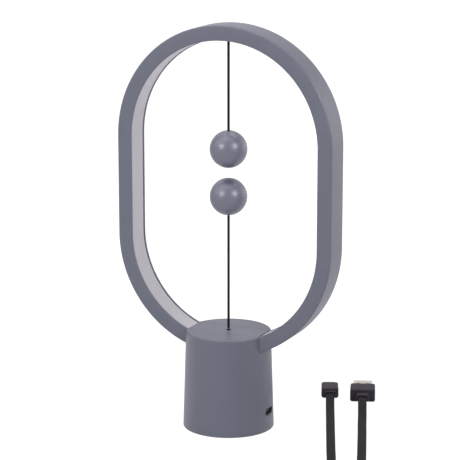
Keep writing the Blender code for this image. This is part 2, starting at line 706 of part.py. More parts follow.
def make_base_shell():
    deck_low = BASE_HEIGHT - DECK_THICKNESS
    bm = bmesh.new()
    add_turned(bm, [
        (0, BASE_HEIGHT), (BASE_TOP_RADIUS - BASE_EDGE, BASE_HEIGHT),
        (base_radius(BASE_HEIGHT - BASE_EDGE), BASE_HEIGHT - BASE_EDGE),
        (base_radius(RIM_HEIGHT), RIM_HEIGHT), (base_radius(RIM_HEIGHT) - BASE_WALL, RIM_HEIGHT),
        (base_radius(deck_low) - BASE_WALL, deck_low), (0, deck_low),
    ], BASE_STEPS)
    shell = make_object("base_shell", bm, "grey_plastic")
    posts = bmesh.new()
    for spot in post_places():
        place = Matrix.Translation(spot)
        add_cylinder(posts, POST_RADIUS, FRAME_TOP + SEAT_GAP, deck_low + WELD_DEPTH, SCREW_STEPS, place)
    for spot in boss_places():
        place = Matrix.Translation(spot)
        add_cylinder(posts, BOSS_RADIUS, BALLAST_LOW, BOSS_TOP, SCREW_STEPS, place)
    weld(shell, "shell_posts", posts)
    groove = bmesh.new()
    half = RING_DEPTH / 2 + SEAT_GAP
    place = Matrix.Translation((0, 0, LOWER_CENTRE)) @ OUTLINE_IN_XZ
    add_cylinder(groove, RING_RADIUS + SEAT_GAP, -half, half, GROOVE_STEPS, place)
    cut(shell, "shell_groove", groove)
    holes = bmesh.new()
    add_prism(holes, port_outline(SEAT_GAP), base_radius(PORT_HEIGHT) - 2 * BASE_WALL,
              base_radius(PORT_HEIGHT) + CUT_OVERRUN, OUTLINE_IN_YZ)
    bore = SCREW_RADIUS + SEAT_GAP
    for spot in post_places():
        top = FRAME_TOP + SCREW_GRIP + SEAT_GAP
        add_cylinder(holes, bore, FRAME_TOP - CUT_OVERRUN, top, SCREW_STEPS, Matrix.Translation(spot))
    for spot in boss_places():
        top = BOTTOM_TOP + SCREW_GRIP + SEAT_GAP
        add_cylinder(holes, bore, BOTTOM_TOP - CUT_OVERRUN, top, SCREW_STEPS, Matrix.Translation(spot))
    cut(shell, "shell_holes", holes)


def make_slot_cover():
    """The flush band: flat on top, its underside follows the ring's inner face, two bosses under it."""
    radius = RING_RADIUS - RING_THICKNESS - SEAT_GAP
    half_angle = asin(sqrt(radius ** 2 - (LOWER_CENTRE - BASE_HEIGHT) ** 2) / radius)
    outline = arc_points((0, LOWER_CENTRE), radius, -pi / 2 - half_angle, -pi / 2 + half_angle,
                         QUARTER_STEPS)
    bm = bmesh.new()
    add_prism(bm, outline, -RING_DEPTH / 2, RING_DEPTH / 2, OUTLINE_IN_XZ)
    cover = make_object("slot_cover", bm, "grey_plastic")
    bosses = bmesh.new()
    top = BASE_HEIGHT - COVER_SKIN
    for spot in cover_boss_places():
        place = Matrix.Translation(spot)
        add_cylinder(bosses, COVER_BOSS_RADIUS, FRAME_TOP + SEAT_GAP, top, SCREW_STEPS, place)
    weld(cover, "cover_bosses", bosses)
    holes = bmesh.new()
    bush_bore = CORD_HOLE_RADIUS + BUSH_WALL + SEAT_GAP
    low = LOWER_CENTRE - radius - CUT_OVERRUN
    over = BASE_HEIGHT + CUT_OVERRUN
    add_turned(holes, [(0, low), (bush_bore, low), (bush_bore, top), (CORD_HOLE_RADIUS, top),
                       (CORD_HOLE_RADIUS, over), (0, over)], 2 * SCREW_STEPS)
    for spot in cover_boss_places():
        hole_top = FRAME_TOP + SCREW_GRIP + SEAT_GAP
        add_cylinder(holes, SCREW_RADIUS + SEAT_GAP, FRAME_TOP - CUT_OVERRUN, hole_top, SCREW_STEPS,
                     Matrix.Translation(spot))
    cut(cover, "cover_holes", holes)
    bm = bmesh.new()
    bush_top = top - SEAT_GAP
    outer, low = CORD_HOLE_RADIUS + BUSH_WALL, bush_top - BUSH_HEIGHT
    add_turned(bm, [(CORD_HOLE_RADIUS, low), (outer, low), (outer, bush_top),
                    (CORD_HOLE_RADIUS, bush_top)], SCREW_STEPS)
    make_object("cord_bush", bm, "black_plastic")


def ballast_radius():
    """The ballast reaches nearly to the bottom screws' bosses."""
    return boss_reach() - BOSS_RADIUS - BALLAST_CLEARANCE


def ballast_slot():
    """(how far the slot reaches behind the lamp's middle, half its width)"""
    radius = ballast_radius()
    return radius * BALLAST_SLOT_BACK_SHARE, radius * BALLAST_SLOT_SIDE_SHARE


def board_limits():
    """(back end, front end, half width) of the board, which fits in the ballast's slot."""
    slot_back, slot_side = ballast_slot()
    return BOARD_CLEARANCE - slot_back, socket_mouth() - SOCKET_OVERHANG, slot_side - BOARD_CLEARANCE


def board_place(share):
    """A place on the board's middle line, that share of its length from its back end."""
    back, front, _ = board_limits()
    return back + (front - back) * share


def standoff_places():
    back, front, half = board_limits()
    side = half - STANDOFF_INSET
    rows = (back + STANDOFF_INSET, front - STANDOFF_FRONT)
    return [Vector((x, y, 0)) for x in rows for y in (-side, side)]


def board_screw_places():
    """Two standoffs across from each other take a screw, and the other two only carry the board."""
    return standoff_places()[1:3]


def ballast_screw_places():
    return [Vector((-(ballast_radius() + ballast_slot()[0]) / 2, 0, 0))]


def socket_mouth():
    return base_radius(PORT_HEIGHT) - SOCKET_RECESS


def make_bottom():
    """Bottom cover with the board's standoffs, the pad under it and the ballast on it."""
    radius = base_radius(BOTTOM_TOP) - BASE_WALL - SEAT_GAP
    bm = bmesh.new()
    add_cylinder(bm, radius, BOTTOM_LOW, BOTTOM_TOP, BASE_STEPS)
    cover = make_object("base_bottom_cover", bm, "grey_plastic")
    standoffs = bmesh.new()
    for spot in standoff_places():
        place = Matrix.Translation(spot)
        low, high = BOTTOM_TOP - WELD_DEPTH, BOARD_LOW - SEAT_GAP
        add_cylinder(standoffs, STANDOFF_RADIUS, low, high, SCREW_STEPS, place)
    weld(cover, "bottom_standoffs", standoffs)
    holes = bmesh.new()
    head_depth = BOTTOM_LOW + SCREW_HEAD_HEIGHT + SEAT_GAP
    for spot in boss_places() + ballast_screw_places():
        place = Matrix.Translation(spot)
        head, bore = SCREW_HEAD_RADIUS + SEAT_GAP, SCREW_RADIUS + SEAT_GAP
        low, high = BOTTOM_LOW - CUT_OVERRUN, BOTTOM_TOP + CUT_OVERRUN
        add_turned(holes, [(0, low), (head, low), (head, head_depth), (bore, head_depth), (bore, high),
                           (0, high)], SCREW_STEPS, place)
    for spot in board_screw_places():
        place = Matrix.Translation(spot)
        low = BOARD_LOW - SEAT_GAP - SMALL_SCREW_GRIP
        add_cylinder(holes, SMALL_SCREW_RADIUS + SEAT_GAP, low, BOARD_LOW, SCREW_STEPS, place)
    cut(cover, "bottom_holes", holes)
    bm = bmesh.new()
    add_cylinder(bm, radius - PAD_MARGIN, 0, PAD_THICKNESS, BASE_STEPS)
    make_object("foot_pad", bm, "dark_foam")
    make_ballast()


def make_ballast():
    """A thick iron disc, slotted from the right for the board."""
    radius = ballast_radius()
    back, half = ballast_slot()
    start = asin(half / radius)
    outline = arc_points((0, 0), radius, start, 2 * pi - start, BASE_STEPS // 2)
    outline += [(-back, -half), (-back, half)]
    bm = bmesh.new()
    add_prism(bm, outline, BALLAST_LOW, BALLAST_LOW + BALLAST_HEIGHT)
    ballast = make_object("ballast_weight", bm, "cast_iron")
    holes = bmesh.new()
    for spot in ballast_screw_places():
        top = BOTTOM_TOP + SCREW_GRIP + SEAT_GAP
        add_cylinder(holes, SCREW_RADIUS + SEAT_GAP, BOTTOM_TOP, top, SCREW_STEPS, Matrix.Translation(spot))
    cut(ballast, "ballast_holes", holes)


def make_board():
    back, front, half = board_limits()
    bm = bmesh.new()
    add_box(bm, (back, -half, BOARD_LOW), (front, half, BOARD_TOP))
    board = make_object("main_board", bm, "green_board")
    holes = bmesh.new()
    for spot in board_screw_places():
        place = Matrix.Translation(spot)
        low, high = BOARD_LOW - CUT_OVERRUN, BOARD_TOP + CUT_OVERRUN
        add_cylinder(holes, SMALL_SCREW_RADIUS + SEAT_GAP, low, high, SCREW_STEPS, place)
    cut(board, "board_holes", holes)
    low = BOARD_TOP + SEAT_GAP
    bm = bmesh.new()
    add_block(bm, (board_place(LEAD_SOCKET_PLACE_SHARE), 0), LEAD_SOCKET_SIZE, low)
    make_object("lead_socket", bm, "white_nylon")
    bm = bmesh.new()
    add_block(bm, (board_place(DRIVER_CHIP_PLACE_SHARE), 0), DRIVER_CHIP_SIZE, low)
    make_object("driver_chip", bm, "black_plastic")
    bm = bmesh.new()
    place = Matrix.Translation((board_place(CAPACITOR_PLACE_SHARE), 0, 0))
    add_cylinder(bm, CAPACITOR_RADIUS, low, low + CAPACITOR_HEIGHT, SCREW_STEPS, place)
    make_object("capacitor", bm, "steel")


def make_socket():
    """The C socket: a metal cup with its mouth in the base's wall, and the tongue inside it."""
    mouth = socket_mouth()
    back = mouth - SOCKET_LENGTH
    bm = bmesh.new()
    add_prism(bm, port_outline(0), back, mouth, OUTLINE_IN_YZ)
    shell = make_object("usb_c_socket_shell", bm, "steel")
    cavity = bmesh.new()
    add_prism(cavity, port_outline(-SOCKET_WALL), back + SOCKET_FLOOR, mouth + CUT_OVERRUN, OUTLINE_IN_YZ)
    cut(shell, "socket_cavity", cavity)
    bm = bmesh.new()
    half_width, half_height = TONGUE_WIDTH / 2, TONGUE_THICKNESS / 2
    start = back + SOCKET_FLOOR + SEAT_GAP
    add_box(bm, (start, -half_width, PORT_HEIGHT - half_height),
            (mouth - TONGUE_SETBACK, half_width, PORT_HEIGHT + half_height))
    make_object("usb_c_socket_tongue", bm, "black_plastic")


def make_screw(name, shank, head, head_height, grip, place):
    """A screw whose head's seat is at the frame's origin and whose shank runs along its +Z."""
    bm = bmesh.new()
    add_turned(bm, [(0, -head_height), (head, -head_height), (head, 0), (shank, 0), (shank, grip),
                    (0, grip)], SCREW_STEPS)
    make_object(name, bm, "steel", place=place)


def make_screws():
    large = (SCREW_RADIUS, SCREW_HEAD_RADIUS, SCREW_HEAD_HEIGHT)
    small = (SMALL_SCREW_RADIUS, SMALL_HEAD_RADIUS, SMALL_HEAD_HEIGHT)
    bottom_seat = BOTTOM_LOW + SCREW_HEAD_HEIGHT
    frame_seat = FRAME_LOW - SEAT_GAP
    upward = (
        ("cover_screw", boss_places(), bottom_seat, BOTTOM_TOP + SCREW_GRIP),
        ("ballast_screw", ballast_screw_places(), bottom_seat, BOTTOM_TOP + SCREW_GRIP),
        ("frame_screw", post_places(), frame_seat, FRAME_TOP + SCREW_GRIP),
        ("slot_cover_screw", cover_boss_places(), frame_seat, FRAME_TOP + SCREW_GRIP),
    )
    for name, spots, seat, end in upward:
        for i, spot in enumerate(spots):
            place = Matrix.Translation(spot + Vector((0, 0, seat)))
            make_screw(f"{name}_{i + 1}", *large, end - seat, place)
    seat = BOARD_TOP + SEAT_GAP
    for i, spot in enumerate(board_screw_places()):
        place = Matrix.Translation(spot + Vector((0, 0, seat))) @ Matrix.Rotation(pi, 4, "X")
        make_screw(f"board_screw_{i + 1}", *small, seat - BOARD_LOW + SMALL_SCREW_GRIP, place)


# Pull switch


def switch_pins(radius, low, high):
    """Two rods along Y at the switch's mounting holes, from one y to another."""
    bm = bmesh.new()
    height = SWITCH_LOW + (SWITCH_TOP - SWITCH_LOW) * PIN_HEIGHT_SHARE
    for share in PIN_PLACE_SHARES:
        place = Matrix.Translation((SWITCH_START + SWITCH_LENGTH * share, 0, height)) @ OUTLINE_IN_XZ
        add_cylinder(bm, radius, -high, -low, SCREW_STEPS, place)
    return bm


def make_switch_frame():
    """A cross-shaped plate on the two posts, with the slider's collar, and a cheek with two pins that
    carries the switch."""
    arm, end = FRAME_ARM_WIDTH / 2, FRAME_END_WIDTH / 2
    reach = POST_REACH + POST_RADIUS + FRAME_END_MARGIN
    cheek_side = SWITCH_WIDTH / 2 + SEAT_GAP + CHEEK_THICKNESS
    back, back_side, front = -FRAME_BACK_REACH, FRAME_BACK_WIDTH / 2, SWITCH_END + FRAME_END_MARGIN
    right = [(arm, -POST_REACH), (arm, -cheek_side), (front, -cheek_side), (front, cheek_side),
             (arm, cheek_side), (arm, POST_REACH), (end, reach)]
    left = [(-end, reach), (-arm, POST_REACH), (-arm, back_side), (back, back_side),
            (back, -back_side), (-arm, -back_side), (-arm, -POST_REACH), (-end, -reach)]
    bm = bmesh.new()
    add_prism(bm, right + left + [(end, -reach)], FRAME_LOW, FRAME_TOP)
    frame = make_object("switch_frame", bm, "white_nylon")
    extras = bmesh.new()
    add_cylinder(extras, COLLAR_RADIUS, FRAME_TOP - WELD_DEPTH, FRAME_TOP + COLLAR_HEIGHT, 2 * SCREW_STEPS)
    add_box(extras, (SWITCH_START, cheek_side - CHEEK_THICKNESS, SWITCH_LOW),
            (SWITCH_END, cheek_side, FRAME_LOW + WELD_DEPTH))
    weld(frame, "frame_extras", extras)
    pin_start = cheek_side - CHEEK_THICKNESS + WELD_DEPTH
    weld(frame, "frame_pins", switch_pins(PIN_RADIUS, -SWITCH_WIDTH / 2 - PIN_OVERHANG, pin_start))
    holes = bmesh.new()
    low, high = FRAME_LOW - CUT_OVERRUN, FRAME_TOP + COLLAR_HEIGHT + CUT_OVERRUN
    add_cylinder(holes, STEM_RADIUS + RUNNING_GAP, low, high, 2 * SCREW_STEPS)
    for spot in post_places() + cover_boss_places():
        place = Matrix.Translation(spot)
        top = FRAME_TOP + CUT_OVERRUN
        add_cylinder(holes, SCREW_RADIUS + SEAT_GAP, low, top, SCREW_STEPS, place)
    cut(frame, "frame_holes", holes)


def make_slider():
    """Stem and flange with the cord through them, the knot under them and the spring round them."""
    pivot = make_empty("slider_axis", SLIDER_AXIS)
    top = FRAME_TOP + COLLAR_HEIGHT + STEM_TOP_REACH
    bm = bmesh.new()
    add_turned(bm, [
        (CORD_BORE, FLANGE_LOW), (FLANGE_RADIUS, FLANGE_LOW), (FLANGE_RADIUS, FLANGE_TOP),
        (STEM_RADIUS, FLANGE_TOP), (STEM_RADIUS, top), (CORD_BORE, top),
    ], 2 * SCREW_STEPS)
    make_object("pull_slider", bm, "white_nylon", pivot)
    low = PULL_KNOT_HEIGHT + KNOT_RADIUS + SEAT_GAP
    straight_cord("pull_cord", low, LOWER_PIVOT.z - BEAD_RADIUS - SEAT_GAP, pivot)
    bm = bmesh.new()
    add_sphere(bm, Vector((0, 0, PULL_KNOT_HEIGHT)), KNOT_RADIUS, KNOT_STEPS)
    make_object("pull_cord_knot", bm, "black_cord", pivot)


def make_return_spring():
    """An open coil spring that presses the slider's flange down."""
    low, high = SPRING_LOW + SPRING_WIRE_RADIUS, SPRING_TOP - SPRING_WIRE_RADIUS
    count = SPRING_TURNS * SPRING_POINTS
    centres = []
    for i in range(count + 1):
        angle = 2 * pi * i / SPRING_POINTS
        height = low + (high - low) * i / count
        centres.append(Vector((SPRING_RADIUS * cos(angle), SPRING_RADIUS * sin(angle), height)))
    gap = (high - low) / SPRING_TURNS - 2 * SPRING_WIRE_RADIUS
    print("return spring's least gap to itself, mm:", round(gap * 1000, 2))
    bm = bmesh.new()
    add_rings(bm, round_rings(centres, SPRING_WIRE_RADIUS, SPRING_SIDES))
    make_object("return_spring", bm, "steel")


def make_switch():
    """The micro switch hangs on the frame's cheek. Its button and lever are their own bodies."""
    half = SWITCH_WIDTH / 2
    bm = bmesh.new()
    add_box(bm, (SWITCH_START, -half, SWITCH_LOW), (SWITCH_END, half, SWITCH_TOP))
    body = make_object("switch_body", bm, "black_plastic")
    ears = bmesh.new()
    ear_top = SWITCH_LOW + WELD_DEPTH
    for side in (-1, 1):
        inner, outer = side * (half - EAR_THICKNESS), side * half
        add_box(ears, (SWITCH_END - EAR_LENGTH, min(inner, outer), LEVER_LOW),
                (SWITCH_END, max(inner, outer), ear_top))
    weld(body, "switch_ears", ears)
    pin = bmesh.new()
    place = Matrix.Translation(LEVER_PIVOT) @ OUTLINE_IN_XZ
    reach = half - EAR_THICKNESS / 2
    add_cylinder(pin, LEVER_PIN_RADIUS, -reach, reach, SCREW_STEPS, place)
    weld(body, "switch_pin", pin)
    pocket = bmesh.new()
    half_length, half_width = BUTTON_LENGTH / 2, BUTTON_WIDTH / 2
    wide, deep = half_length + RUNNING_GAP, half_width + RUNNING_GAP
    pocket_top = SWITCH_LOW + BUTTON_DEPTH + SEAT_GAP
    add_box(pocket, (BUTTON_PLACE - wide, -deep, SWITCH_LOW - CUT_OVERRUN),
            (BUTTON_PLACE + wide, deep, pocket_top))
    cut(body, "switch_pocket", pocket)
    reach = half + CUT_OVERRUN
    cut(body, "switch_bores", switch_pins(PIN_RADIUS + SEAT_GAP, -reach, reach))
    button_axis = make_empty("button_axis", Vector((BUTTON_PLACE, 0, LEVER_TOP)))
    bm = bmesh.new()
    add_box(bm, (BUTTON_PLACE - half_length, -half_width, LEVER_TOP + SEAT_GAP),
            (BUTTON_PLACE + half_length, half_width, SWITCH_LOW + BUTTON_DEPTH))
    make_object("switch_button", bm, "lead_red", button_axis)
    make_lever()


def make_lever():
    """A thin plate that ends in an eye round the switch's pin."""
    meet = pi + asin((LEVER_EYE_RADIUS - LEVER_THICKNESS) / LEVER_EYE_RADIUS)
    outline = [(LEVER_TIP, LEVER_LOW)]
    outline += arc_points((EYE_PLACE, EYE_HEIGHT), LEVER_EYE_RADIUS, -pi / 2, meet, SCREW_STEPS)
    outline.append((LEVER_TIP, LEVER_TOP))
    pivot = make_empty("lever_axis", LEVER_PIVOT)
    bm = bmesh.new()
    add_prism(bm, outline, -LEVER_WIDTH / 2, LEVER_WIDTH / 2, OUTLINE_IN_XZ)
    lever = make_object("switch_lever", bm, "steel", pivot)
    bore = bmesh.new()
    place = Matrix.Translation(LEVER_PIVOT) @ OUTLINE_IN_XZ
    add_cylinder(bore, EYE_BORE, -LEVER_WIDTH, LEVER_WIDTH, SCREW_STEPS, place)
    cut(lever, "lever_bore", bore)


# Leads and cable


def smooth_run(points, step):
    """Points about a step apart on a smooth curve through the route's own points."""
    route = [Vector(p) for p in points]
    ends = [2 * route[0] - route[1]] + route + [2 * route[-1] - route[-2]]
    run = []
    for before, start, end, after in zip(ends, ends[1:], ends[2:], ends[3:]):
        count = max(1, round((end - start).length / step))
        for i in range(count):
            t = i / count
            bend = 2 * before - 5 * start + 4 * end - after
            curl = -before + 3 * start - 3 * end + after
            run.append((2 * start + (end - before) * t + bend * t ** 2 + curl * t ** 3) / 2)
    return run + [route[-1]]


def tangents(run):
    """Unit directions along a run of points."""
    ahead = run[1:] + [2 * run[-1] - run[-2]]
    behind = [2 * run[0] - run[1]] + run[:-1]
    return [(b - a).normalized() for a, b in zip(behind, ahead)]


def round_rings(run, radius, sides):
    """Rings of a round tube, each turned on from the one before by the least twist."""
    rings = []
    side = None
    for centre, along in zip(run, tangents(run)):
        if side is None:
            side = along.orthogonal().normalized()
        side = (side - along * side.dot(along)).normalized()
        up = along.cross(side)
        rings.append([centre + radius * (cos(a) * side + sin(a) * up) for a in around(sides)])
    return rings


def share_route(start, end, shares):
    """Points between a lead's two ends from rows of plan share and drop share."""
    return [Vector((start.x + (end.x - start.x) * plan, start.y + (end.y - start.y) * max(plan, 0),
                    start.z + (end.z - start.z) * drop)) for plan, drop in shares]


def lead(name, start, end, shares, finish):
    bm = bmesh.new()
    run = smooth_run(share_route(start, end, shares), LEAD_STEP)
    add_rings(bm, round_rings(run, LEAD_RADIUS, CORD_STEPS))
    make_object(name, bm, finish)


def make_leads():
    """Both leads end on the board's socket, one on each side of its middle."""
    socket_top = BOARD_TOP + LEAD_SOCKET_SIZE[2] + 2 * SEAT_GAP
    socket = Vector((board_place(LEAD_SOCKET_PLACE_SHARE), 0, socket_top))
    aside = Vector((0, LEAD_SPACING / 2, 0))
    start = ring_point(ring_stations()[-1], LED_LEAD_INSET, LED_LEAD_SIDE)
    start += (LEAD_RADIUS + SEAT_GAP) * Vector((cos(MOUTH_ANGLE), 0, -sin(MOUTH_ANGLE)))
    lead("led_lead", start, socket + aside, LED_LEAD_SHARES, "black_plastic")
    height = SWITCH_LOW + (SWITCH_TOP - SWITCH_LOW) * SWITCH_LEAD_HEIGHT_SHARE
    start = Vector((SWITCH_END + SEAT_GAP, 0, height))
    lead("switch_lead", start, socket - aside, SWITCH_LEAD_SHARES, "lead_red")


def flat_outline():
    """Section of the flat cable: wide along the first axis, with its corners cut."""
    half_width, half_height, corner = CABLE_WIDTH / 2, CABLE_THICKNESS / 2, CABLE_CORNER
    return [
        (half_width, -half_height + corner), (half_width, half_height - corner),
        (half_width - corner, half_height), (-half_width + corner, half_height),
        (-half_width, half_height - corner), (-half_width, -half_height + corner),
        (-half_width + corner, -half_height), (half_width - corner, -half_height),
    ]


def flat_rings(run, twists):
    """Rings of the flat cable. It lies flat at twist 0 and stands on its edge at a quarter turn."""
    rings = []
    for centre, along, twist in zip(run, tangents(run), twists):
        side = Vector((0, 0, 1)).cross(along).normalized()
        up = along.cross(side)
        wide = side * cos(twist) + up * sin(twist)
        thick = up * cos(twist) - side * sin(twist)
        rings.append([centre + wide * x + thick * y for x, y in flat_outline()])
    return rings


def coil_radius(turns_from_middle):
    """Radius in the coil: least in the half turn that climbs, one pitch more half a turn later, and a
    pitch more each turn after that."""
    away = abs(turns_from_middle)
    if away < 0.25:
        steps_out = 0
    elif away < 0.75:
        steps_out = 2 * (away - 0.25)
    else:
        steps_out = away + 0.25
    return COIL_INNER_RADIUS + COIL_PITCH * steps_out


def coil_height(turns_from_middle):
    """The lower layer before the climbing half turn and the upper one after it."""
    share = min(1, max(0, turns_from_middle * 2 + 0.5))
    eased = share * share * (3 - 2 * share)
    return COIL_LOW_HEIGHT + (COIL_HIGH_HEIGHT - COIL_LOW_HEIGHT) * eased


def coil_run():
    """Two layers wound inwards and out again, with a straight end of one cable width at each end."""
    turns = COIL_HALF_TURNS / 2
    count = ceil(turns * COIL_TURN_POINTS)
    centre = Vector((*COIL_CENTRE, 0))
    run = []
    for i in range(count + 1):
        from_middle = turns * (i / count - 0.5)
        angle = COIL_HEADING - pi / 2 + 2 * pi * turns * i / count
        radius = coil_radius(from_middle)
        run.append(centre + Vector((radius * cos(angle), radius * sin(angle), coil_height(from_middle))))
    heading = Vector((cos(COIL_HEADING), sin(COIL_HEADING), 0))
    return [run[0] - heading * CABLE_WIDTH] + run + [run[-1] - heading * CABLE_WIDTH]


def least_coil_gap(run):
    """Least distance between cable faces of different turns: side by side in a layer, or one above."""
    least = CABLE_WIDTH
    for i, first in enumerate(run):
        for second in run[i + COIL_TURN_POINTS // 2:]:
            beside = (first - second).xy.length - CABLE_THICKNESS
            above = abs(first.z - second.z) - CABLE_WIDTH
            least = min(least, max(beside, above))
    return least


def run_length(run):
    return sum((b - a).length for a, b in zip(run, run[1:]))


def make_cable():
    """Both ends lie flat, twist on to their edge and meet the coil face to face."""
    coil = coil_run()
    bm = bmesh.new()
    quarter = pi / 2
    add_rings(bm, flat_rings(coil, [quarter] * len(coil)))
    make_object("usb_cable_coil", bm, "cable_rubber")
    print("coil's least gap to itself, mm:", round(least_coil_gap(coil) * 1000, 2))
    heading = Vector((cos(COIL_HEADING), sin(COIL_HEADING), 0))
    total = run_length(coil)
    for name, route, joint in (("usb_cable_c_end", C_LEAD_ROUTE, coil[0]),
                               ("usb_cable_a_end", A_LEAD_ROUTE, coil[-1])):
        last = joint - heading * SEAT_GAP
        before = joint - heading * (SEAT_GAP + CABLE_WIDTH)
        run = smooth_run([*route, before, last], CABLE_STEP)
        left = [run_length(run[i:]) for i in range(len(run))]
        twists = [quarter * min(1, max(0, 1 - (rest - CABLE_WIDTH) / TWIST_LENGTH)) for rest in left]
        bm = bmesh.new()
        add_rings(bm, flat_rings(run, twists))
        make_object(name, bm, "cable_rubber")
        total += run_length(run)
    print("cable's length, mm:", round(total * 1000, 1))
    make_tie(coil)


def make_tie(coil):
    """A flat band right round every turn of the coil, at its side away from the plugs."""
    middle = radians(TIE_ANGLE_DEGREES)
    out = Vector((cos(middle), sin(middle), 0))
    across = Vector((-out.y, out.x, 0))
    centre = Vector((*COIL_CENTRE, 0))
    reaches = [(p - centre).dot(out) for p in coil if abs((p - centre).dot(across)) < TIE_WIDTH * 2]
    outside = [reach for reach in reaches if reach > 0]
    slack = CABLE_THICKNESS / 2 + SEAT_GAP
    sag = COIL_INNER_RADIUS - sqrt(COIL_INNER_RADIUS ** 2 - TIE_WIDTH ** 2)
    near, far = min(outside) - slack - sag, max(outside) + slack
    high = COIL_HIGH_HEIGHT + CABLE_WIDTH / 2 + SEAT_GAP
    inner = [(near, TIE_THICKNESS), (far, TIE_THICKNESS), (far, high), (near, high)]
    wall = TIE_THICKNESS
    outer = [(near - wall, 0), (far + wall, 0), (far + wall, high + wall), (near - wall, high + wall)]
    axes = Matrix((out, Vector((0, 0, 1)), across * -1)).transposed().to_4x4()
    bm = bmesh.new()
    place = Matrix.Translation(centre) @ axes
    add_sleeve(bm, outer, inner, -TIE_WIDTH / 2, TIE_WIDTH / 2, place)
    make_object("usb_cable_tie", bm, "black_plastic")


# Plugs: in a plug's own frame +X points to its tip and the cable leaves at the origin


def plug_place(route, height):
    start, second = Vector(route[0]), Vector(route[1])
    along = (start - second).xy.normalized()
    turn = Matrix.Rotation(Vector((1, 0)).angle_signed(along) * -1, 4, "Z")
    spot = start.xy.to_3d() + SEAT_GAP * along.to_3d()
    return Matrix.Translation(spot + Vector((0, 0, height / 2))) @ turn


def add_plug_body(bm, width, height, length, neck_width, neck_height, neck_length):
    """The neck, then a body that swells at a short shoulder and tapers a little towards its tip."""
    shoulder = neck_length + length * BODY_SHOULDER_SHARE
    tip = neck_length + length
    stations = [
        (0, neck_width, neck_height), (neck_length, neck_width, neck_height),
        (neck_length, width * BODY_TAPER_SHARE, height * BODY_TAPER_SHARE),
        (shoulder, width, height), (tip - PLUG_EDGE_RADIUS, width, height),
        (tip, width - PLUG_EDGE_RADIUS, height - PLUG_EDGE_RADIUS),
    ]
    rings = []
    for x, wide, high in stations:
        outline = rounded_outline(wide, high, min(PLUG_EDGE_RADIUS, high / 4), PLUG_CORNER_STEPS)
        rings.append([(x, y, z) for y, z in outline])
    add_rings(bm, rings)


def plug_pocket(width, height, tip):
    """Cutter for the pocket that the metal shell stands in."""
    bm = bmesh.new()
    outline = rounded_outline(width + 2 * SEAT_GAP, height + 2 * SEAT_GAP, height / 4, PLUG_CORNER_STEPS)
    add_prism(bm, outline, tip - PLUG_POCKET_DEPTH, tip + CUT_OVERRUN, OUTLINE_IN_YZ)
    return bm


def make_c_plug():
    place = plug_place(C_LEAD_ROUTE, C_BODY_HEIGHT)
    bm = bmesh.new()
    add_plug_body(bm, C_BODY_WIDTH, C_BODY_HEIGHT, C_BODY_LENGTH, C_NECK_WIDTH, C_NECK_HEIGHT,
                  C_NECK_LENGTH)
    body = make_object("usb_c_plug_body", bm, "plug_rubber", place=place)
    tip = C_NECK_LENGTH + C_BODY_LENGTH
    cut(body, "c_plug_pocket", plug_pocket(C_SHELL_WIDTH, C_SHELL_HEIGHT, tip), place)
    start = tip - PLUG_POCKET_DEPTH + SEAT_GAP
    radius = C_SHELL_HEIGHT / 2 * 0.98
    outer = rounded_outline(C_SHELL_WIDTH, C_SHELL_HEIGHT, radius, 2 * PLUG_CORNER_STEPS)
    width, height = C_SHELL_WIDTH - 2 * C_SHELL_WALL, C_SHELL_HEIGHT - 2 * C_SHELL_WALL
    inner = rounded_outline(width, height, height / 2 * 0.98, 2 * PLUG_CORNER_STEPS)
    bm = bmesh.new()
    add_sleeve(bm, outer, inner, start, tip + C_SHELL_LENGTH, OUTLINE_IN_YZ)
    make_object("usb_c_plug_shell", bm, "plug_steel", place=place)
    width, height = width - 2 * SEAT_GAP, height - 2 * SEAT_GAP
    filling = rounded_outline(width, height, height / 4, PLUG_CORNER_STEPS)
    bm = bmesh.new()
    add_prism(bm, filling, start, start + C_INSERT_LENGTH, OUTLINE_IN_YZ)
    make_object("usb_c_plug_insert", bm, "black_plastic", place=place)


